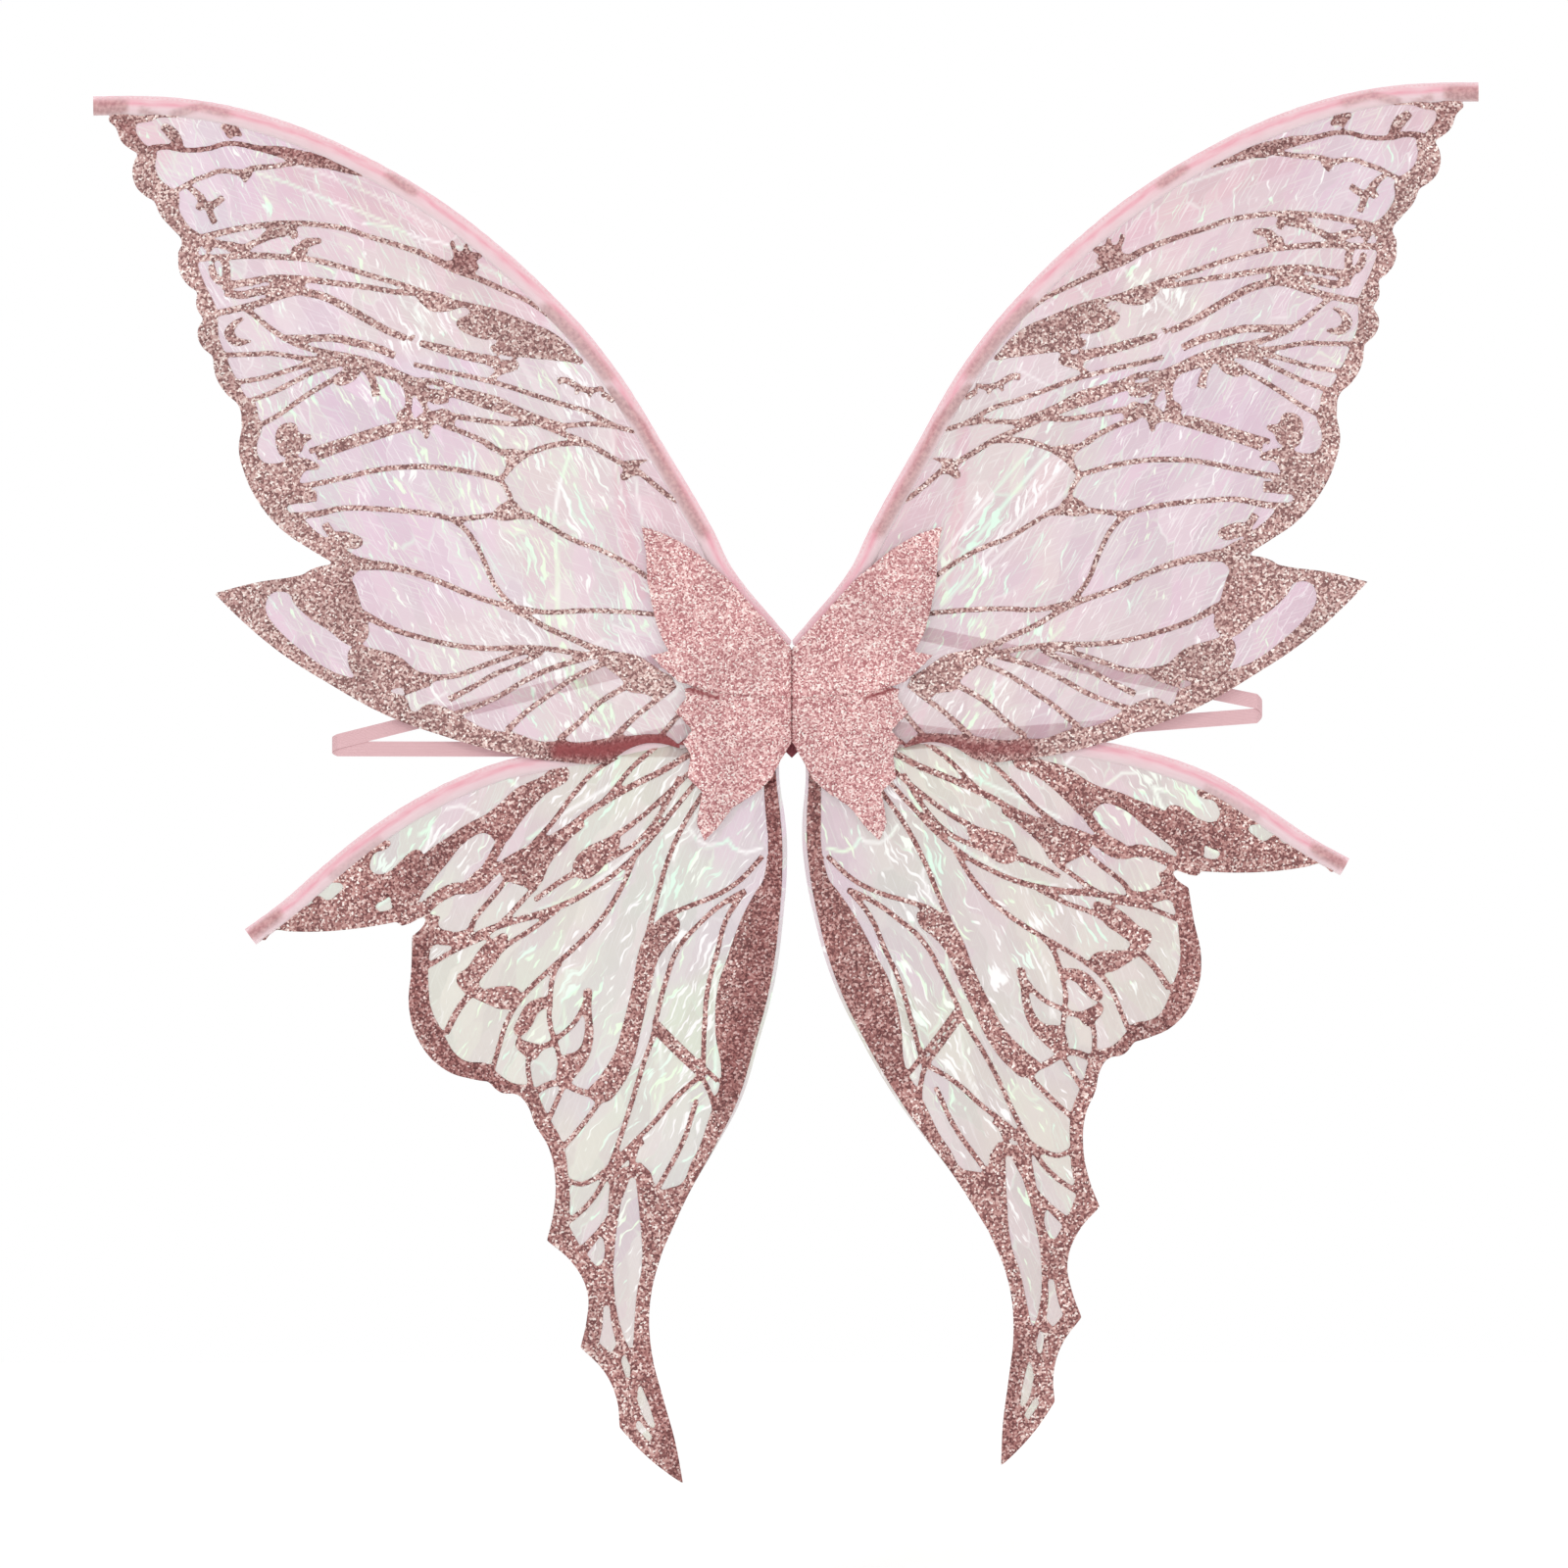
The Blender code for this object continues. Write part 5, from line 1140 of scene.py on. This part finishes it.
def stitch_row(name, spots, finish, long, thick):
    """A row of sewn stitches: one stitch modelled, then copied to each (place, direction) and joined."""
    deselect()
    bpy.ops.mesh.primitive_uv_sphere_add(segments=6, ring_count=4, radius=0.5)
    first = bpy.context.view_layer.objects.active
    copies = []
    base = first.data
    for (x, y, z), (dx, dz) in spots:
        copy = bpy.data.objects.new("stitch", base.copy())
        bpy.context.scene.collection.objects.link(copy)
        turn = Matrix(((dx, 0.0, -dz), (0.0, 1.0, 0.0), (dz, 0.0, dx)))
        scale = Matrix.Diagonal((long * MM, thick * MM, thick * MM))
        copy.data.transform(Matrix.Translation((x, y, z)) @ (turn @ scale).to_4x4())
        copies.append(copy)
    bpy.data.objects.remove(first)
    piece = join(name, copies)
    choose(piece)
    bpy.ops.object.shade_smooth()
    wear(piece, finish)
    return piece


def sleeve_stitches(side, wing):
    """The lockstitch along the sleeve's inner edge, in front and behind."""
    edge = FORE_EDGE if wing == "forewing" else HIND_EDGE
    line, length = resample(lay(edge, side, wing), 3.2)
    turn = 1 if side == "left" else -1
    spots = []
    for index in range(1, len(line) - 1):
        way = (line[index + 1] - line[index - 1]).normalized()
        across = Vector((way.y, -way.x)) * turn * -1
        spot = line[index] + across * 5.0 * MM
        for depth in (-0.86, 0.86):
            spots.append(((spot.x, (MIDDLE[wing] + depth) * MM, spot.y), (way.x, way.y)))
    return stitch_row(f"{side}_{wing}_sleeve_stitches", spots, "thread", 2.3, 0.34)


# ------------------------------------------------------------------ middle, loops and tape
# Painted shade on the leaves: along the seam between the halves, and a painted shadow along the upper leaf's edge
# where it lies over the lower leaf. Reach in mm, strength, and the line it follows.
LEAF_PAINTED_SHADE = [(1.8, 0.5, [(0, 24), (0, -38)]), (1.6, 0.9, [(-76, 1), (-60, -4), (-48, -8)])]


def make_leaf(name, outline, side, front, back, crown):
    """A glitter leaf cut from thick glitter felt: rough cut edge, slightly crowned front."""
    thick = back - front
    piece = remesh(slab(name, lay(outline, side), 1.6), 1.0)
    co = coordinates(piece)
    flat = co[:, [0, 2]]
    cut = [(x * MM, z * MM) for x, z, *rest in lay(outline, side)]
    inside = smoothstep(0.0, 0.014, distance_to(flat, [*cut, cut[0]]))
    rough = np.array([noise.noise((x * 620, 2.0 if y > 0 else 7.0, z * 620)) for x, y, z in co])
    grain = np.array([noise.noise((x * 260, 5.0, z * 260)) for x, y, z in co])
    level = co[:, 1] / (1.6 * MM)
    co[:, 1] = (front + back) / 2 * MM + level * thick / 2 * MM
    facing = level < 0
    co[:, 1] -= np.where(facing, (crown * inside + 0.10 * rough + 0.08 * grain) * MM, 0.0)
    edge = 1 - smoothstep(0.0, 0.002, distance_to(flat, [*cut, cut[0]]))
    co[:, 0] += edge * rough * 0.5 * MM
    co[:, 2] += edge * grain * 0.6 * MM
    set_coordinates(piece, co)
    # Painted shade along the seam and painted shadow under the upper leaf's edge, kept in the 'turned' mark.
    dark = np.zeros(len(co))
    for reach, strength, line in LEAF_PAINTED_SHADE:
        gap = distance_to(flat, metres(line, side, None))
        dark = np.maximum(dark, strength * np.exp(-((gap / (reach * MM)) ** 2)))
    float_attribute(piece, "turned", dark)
    choose(piece)
    bpy.ops.object.shade_smooth_by_angle(angle=math.radians(50))
    wear(piece, "leaf")
    return piece


def make_back_pad(side):
    """The felt lining behind the wings, crowned a little between its sewn edges."""
    piece = remesh(slab(f"{side}_back_lining", lay(BACK_PAD, side), 1.6), 1.3)
    co = coordinates(piece)
    cut = [(x * MM, z * MM) for x, z, *rest in lay(BACK_PAD, side)]
    gap = distance_to(co[:, [0, 2]], [*cut, cut[0]])
    level = co[:, 1] / (1.6 * MM)
    sewn = np.exp(-(((gap - 0.004) / 0.0011) ** 2))
    co[:, 1] = -1.5 * MM + level * 0.4 * MM
    co[:, 1] += np.where(level > 0, (0.25 * smoothstep(0.004, 0.014, gap) - 0.25 * sewn) * MM, 0.0)
    set_coordinates(piece, co)
    choose(piece)
    bpy.ops.object.shade_smooth_by_angle(angle=math.radians(50))
    wear(piece, "felt")
    return piece


def sewn_line(name, outline, inset, y, pitch, side, finish):
    """Stitches just inside an outline."""
    points = lay(outline, side)
    closed = [Vector(p[:2]) for p in points] + [Vector(points[0][:2])]
    area = sum(a.x * b.y - b.x * a.y for a, b in zip(closed, closed[1:]))
    sign = 1 if area > 0 else -1
    spots = []
    for a, b in zip(closed, closed[1:]):
        way = (b - a).normalized()
        inward = Vector((-way.y, way.x)) * sign
        run = (b - a).length - 2 * inset
        steps = max(int(run / pitch), 0)
        for k in range(steps):
            spot = a + way * (inset + (k + 0.5) * run / steps) + inward * inset
            spots.append(((spot.x * MM, y * MM, spot.y * MM), (way.x, way.y)))
    return stitch_row(name, spots, finish, pitch * 0.72, 0.4)


ARM_LOOPS = {"left": {"upper": 20.0, "lower": -41.5, "end_x": 302.0, "end_upper": -37.5, "end_lower": -41.0},
             "right": {"upper": 37.0, "lower": -37.0, "end_x": 309.0, "end_upper": -11.0, "end_lower": -19.0}}
STRAP_AXIS_X = 72.0
STRAP_HALF_WIDTH = 4.9
TAB_INNER_X = 26.0


def strap_height(loop, strand, x):
    """Height of a strand's middle at a distance x from the seam."""
    slope = (loop["end_" + strand] - loop[strand]) / (loop["end_x"] - STRAP_AXIS_X)
    return loop[strand] + slope * (x - STRAP_AXIS_X)


def make_strap(side):
    """One elastic loop: sewn on behind the pad, out, folded over at the end and back again."""
    loop = ARM_LOOPS[side]
    sign = -1.0 if side == "left" else 1.0
    route = []
    out_to = loop["end_x"] - 5.0
    steps = 56
    for k in range(steps + 1):
        x = TAB_INNER_X + (out_to - TAB_INNER_X) * k / steps
        route.append((x, strap_height(loop, "upper", x), -0.30))
    fold_top = strap_height(loop, "upper", out_to)
    fold_low = strap_height(loop, "lower", out_to)
    for k in range(1, 8):
        angle = math.pi * k / 8
        route.append((out_to + 3.4 * math.sin(angle), fold_top + (fold_low - fold_top) * k / 8,
                      -0.30 + 0.75 * (1 - math.cos(angle)) / 2))
    for k in range(steps + 1):
        x = out_to - (out_to - TAB_INNER_X) * k / steps
        near = 1 - min((out_to - x) / 60.0, 1.0)
        route.append((x, strap_height(loop, "lower", x), -0.30 + 0.75 * near))
    frames = [((sign * x * MM, y * MM, z * MM), (0.0, 1.0)) for x, z, y in route]
    half = STRAP_HALF_WIDTH * MM
    thin = 0.28 * MM
    section = []
    marks = []
    ribs = 9
    for j in range(ribs + 1):
        section.append((half * (2 * j / ribs - 1), -thin * (1.0 if j % 2 else 0.8)))
        marks.append(j / ribs)
    for j in range(ribs, -1, -1):
        section.append((half * (2 * j / ribs - 1), thin * (1.0 if j % 2 else 0.8)))
        marks.append(j / ribs)
    length = sum((Vector(b) - Vector(a)).length for a, b in zip(route, route[1:])) * MM
    piece = sweep(f"{side}_arm_loop", frames, section, marks, length)
    choose(piece)
    bpy.ops.object.shade_smooth_by_angle(angle=math.radians(40))
    wear(piece, "elastic")
    return piece


def make_tape(side):
    """One side of the dark red tape sewn over the fold behind the pad."""
    sign = -1.0 if side == "left" else 1.0
    outline = [(0, 24, C), (sign * 10, 24, C), (sign * 10, -37, C), (0, -47, C)]
    piece = remesh(slab(f"{side}_spine_tape", outline, 1.6), 1.0)
    co = coordinates(piece)
    co[:, 1] = -0.4 * MM + co[:, 1] / (1.6 * MM) * 0.38 * MM
    set_coordinates(piece, co)
    shape = piece.data
    uv = shape.uv_layers.new(name="cloth")
    for loop in shape.loops:
        spot = shape.vertices[loop.vertex_index].co
        uv.data[loop.index].uv = (spot.z / MM, spot.x / (10 * MM))
    choose(piece)
    bpy.ops.object.shade_smooth_by_angle(angle=math.radians(50))
    wear(piece, "tape")
    return piece


for side in ("left", "right"):
    for wing in ("forewing", "hindwing"):
        body = f"{side}_half" if wing == "forewing" else f"{side}_hindwing"
        film = make_film(side, wing)
        printed = make_print(side, wing)
        sleeve = make_sleeve(side, wing)
        stitches = sleeve_stitches(side, wing)
        for piece, slot_name in ((film, "iridescent_film"), (printed, "rose_glitter"), (sleeve, "sheer_ribbon"),
                                 (stitches, "sheer_ribbon")):
            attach(piece, body)
        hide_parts(f"{side}_{wing}_film")
        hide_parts(f"{side}_{wing}_lattice")
        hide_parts(f"{side}_{wing}_casing")
        for part, finish in (("rod", "wire"), ("rod_cap", "vinyl")):
            wear(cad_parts[f"{side}_{wing}_{part}"], finish)
        wear(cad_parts[f"{side}_{wing}_rivet"], "nickel")
    upper = make_leaf(f"{side}_upper_leaf_glitter", UPPER_LEAF, side, -10.4, -9.5, 0.5)
    lower = make_leaf(f"{side}_lower_leaf_glitter", LOWER_LEAF, side, -9.1, -8.2, 0.1)
    lining = make_back_pad(side)
    seams = sewn_line(f"{side}_back_lining_stitches", BACK_PAD, 4.0, -1.0, 3.4, side, "thread")
    for piece, node_name, slot_name in ((upper, "upper_leaf", "pink_glitter_leaf"),
                                        (lower, "lower_leaf", "pink_glitter_leaf"),
                                        (lining, "back_pad", "pad_lining")):
        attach(piece, f"{side}_half")
        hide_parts(f"{side}_{node_name}")
    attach(seams, f"{side}_half")
    loop = make_strap(side)
    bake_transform(loop)
    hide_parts(f"{side}_strap", f"{side}_strap_tab_upper", f"{side}_strap_tab_lower")
    tape = make_tape(side)
    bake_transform(tape)
    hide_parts("spine_tape")

# ------------------------------------------------------------------ studio
deselect()
bpy.ops.mesh.primitive_plane_add(size=5.0, location=(0.0, 0.0, -0.60))
floor = bpy.context.view_layer.objects.active
floor.name = "studio_floor"
made, tree, shader = finish_named("matt white paper floor", {"Roughness": 0.9})
shader.inputs["Base Color"].default_value = srgb("#FBFAF9")
floor.data.materials.append(made)

bpy.context.scene.view_settings.view_transform = "Standard"
world = bpy.data.worlds.new("studio")
bpy.context.scene.world = world
world.use_nodes = True
world.node_tree.nodes["Background"].inputs["Color"].default_value = (1.0, 1.0, 1.0, 1.0)
world.node_tree.nodes["Background"].inputs["Strength"].default_value = 1.0

for name, place, size, power, aim in (
        ("key softbox", (-1.6, -2.6, 1.8), 0.7, 14.0, (0.0, 0.0, 0.0)),
        ("fill softbox", (2.2, -2.4, 0.6), 0.9, 7.0, (0.0, 0.0, -0.1)),
        ("rear softbox", (0.6, 2.4, 1.6), 1.0, 8.0, (0.0, 0.0, 0.0))):
    light_data = bpy.data.lights.new(name, "AREA")
    light_data.size = size
    light_data.energy = power
    light = bpy.data.objects.new(name, light_data)
    bpy.context.scene.collection.objects.link(light)
    light.location = place
    light.rotation_euler = (Vector(aim) - Vector(place)).to_track_quat("-Z", "Y").to_euler()
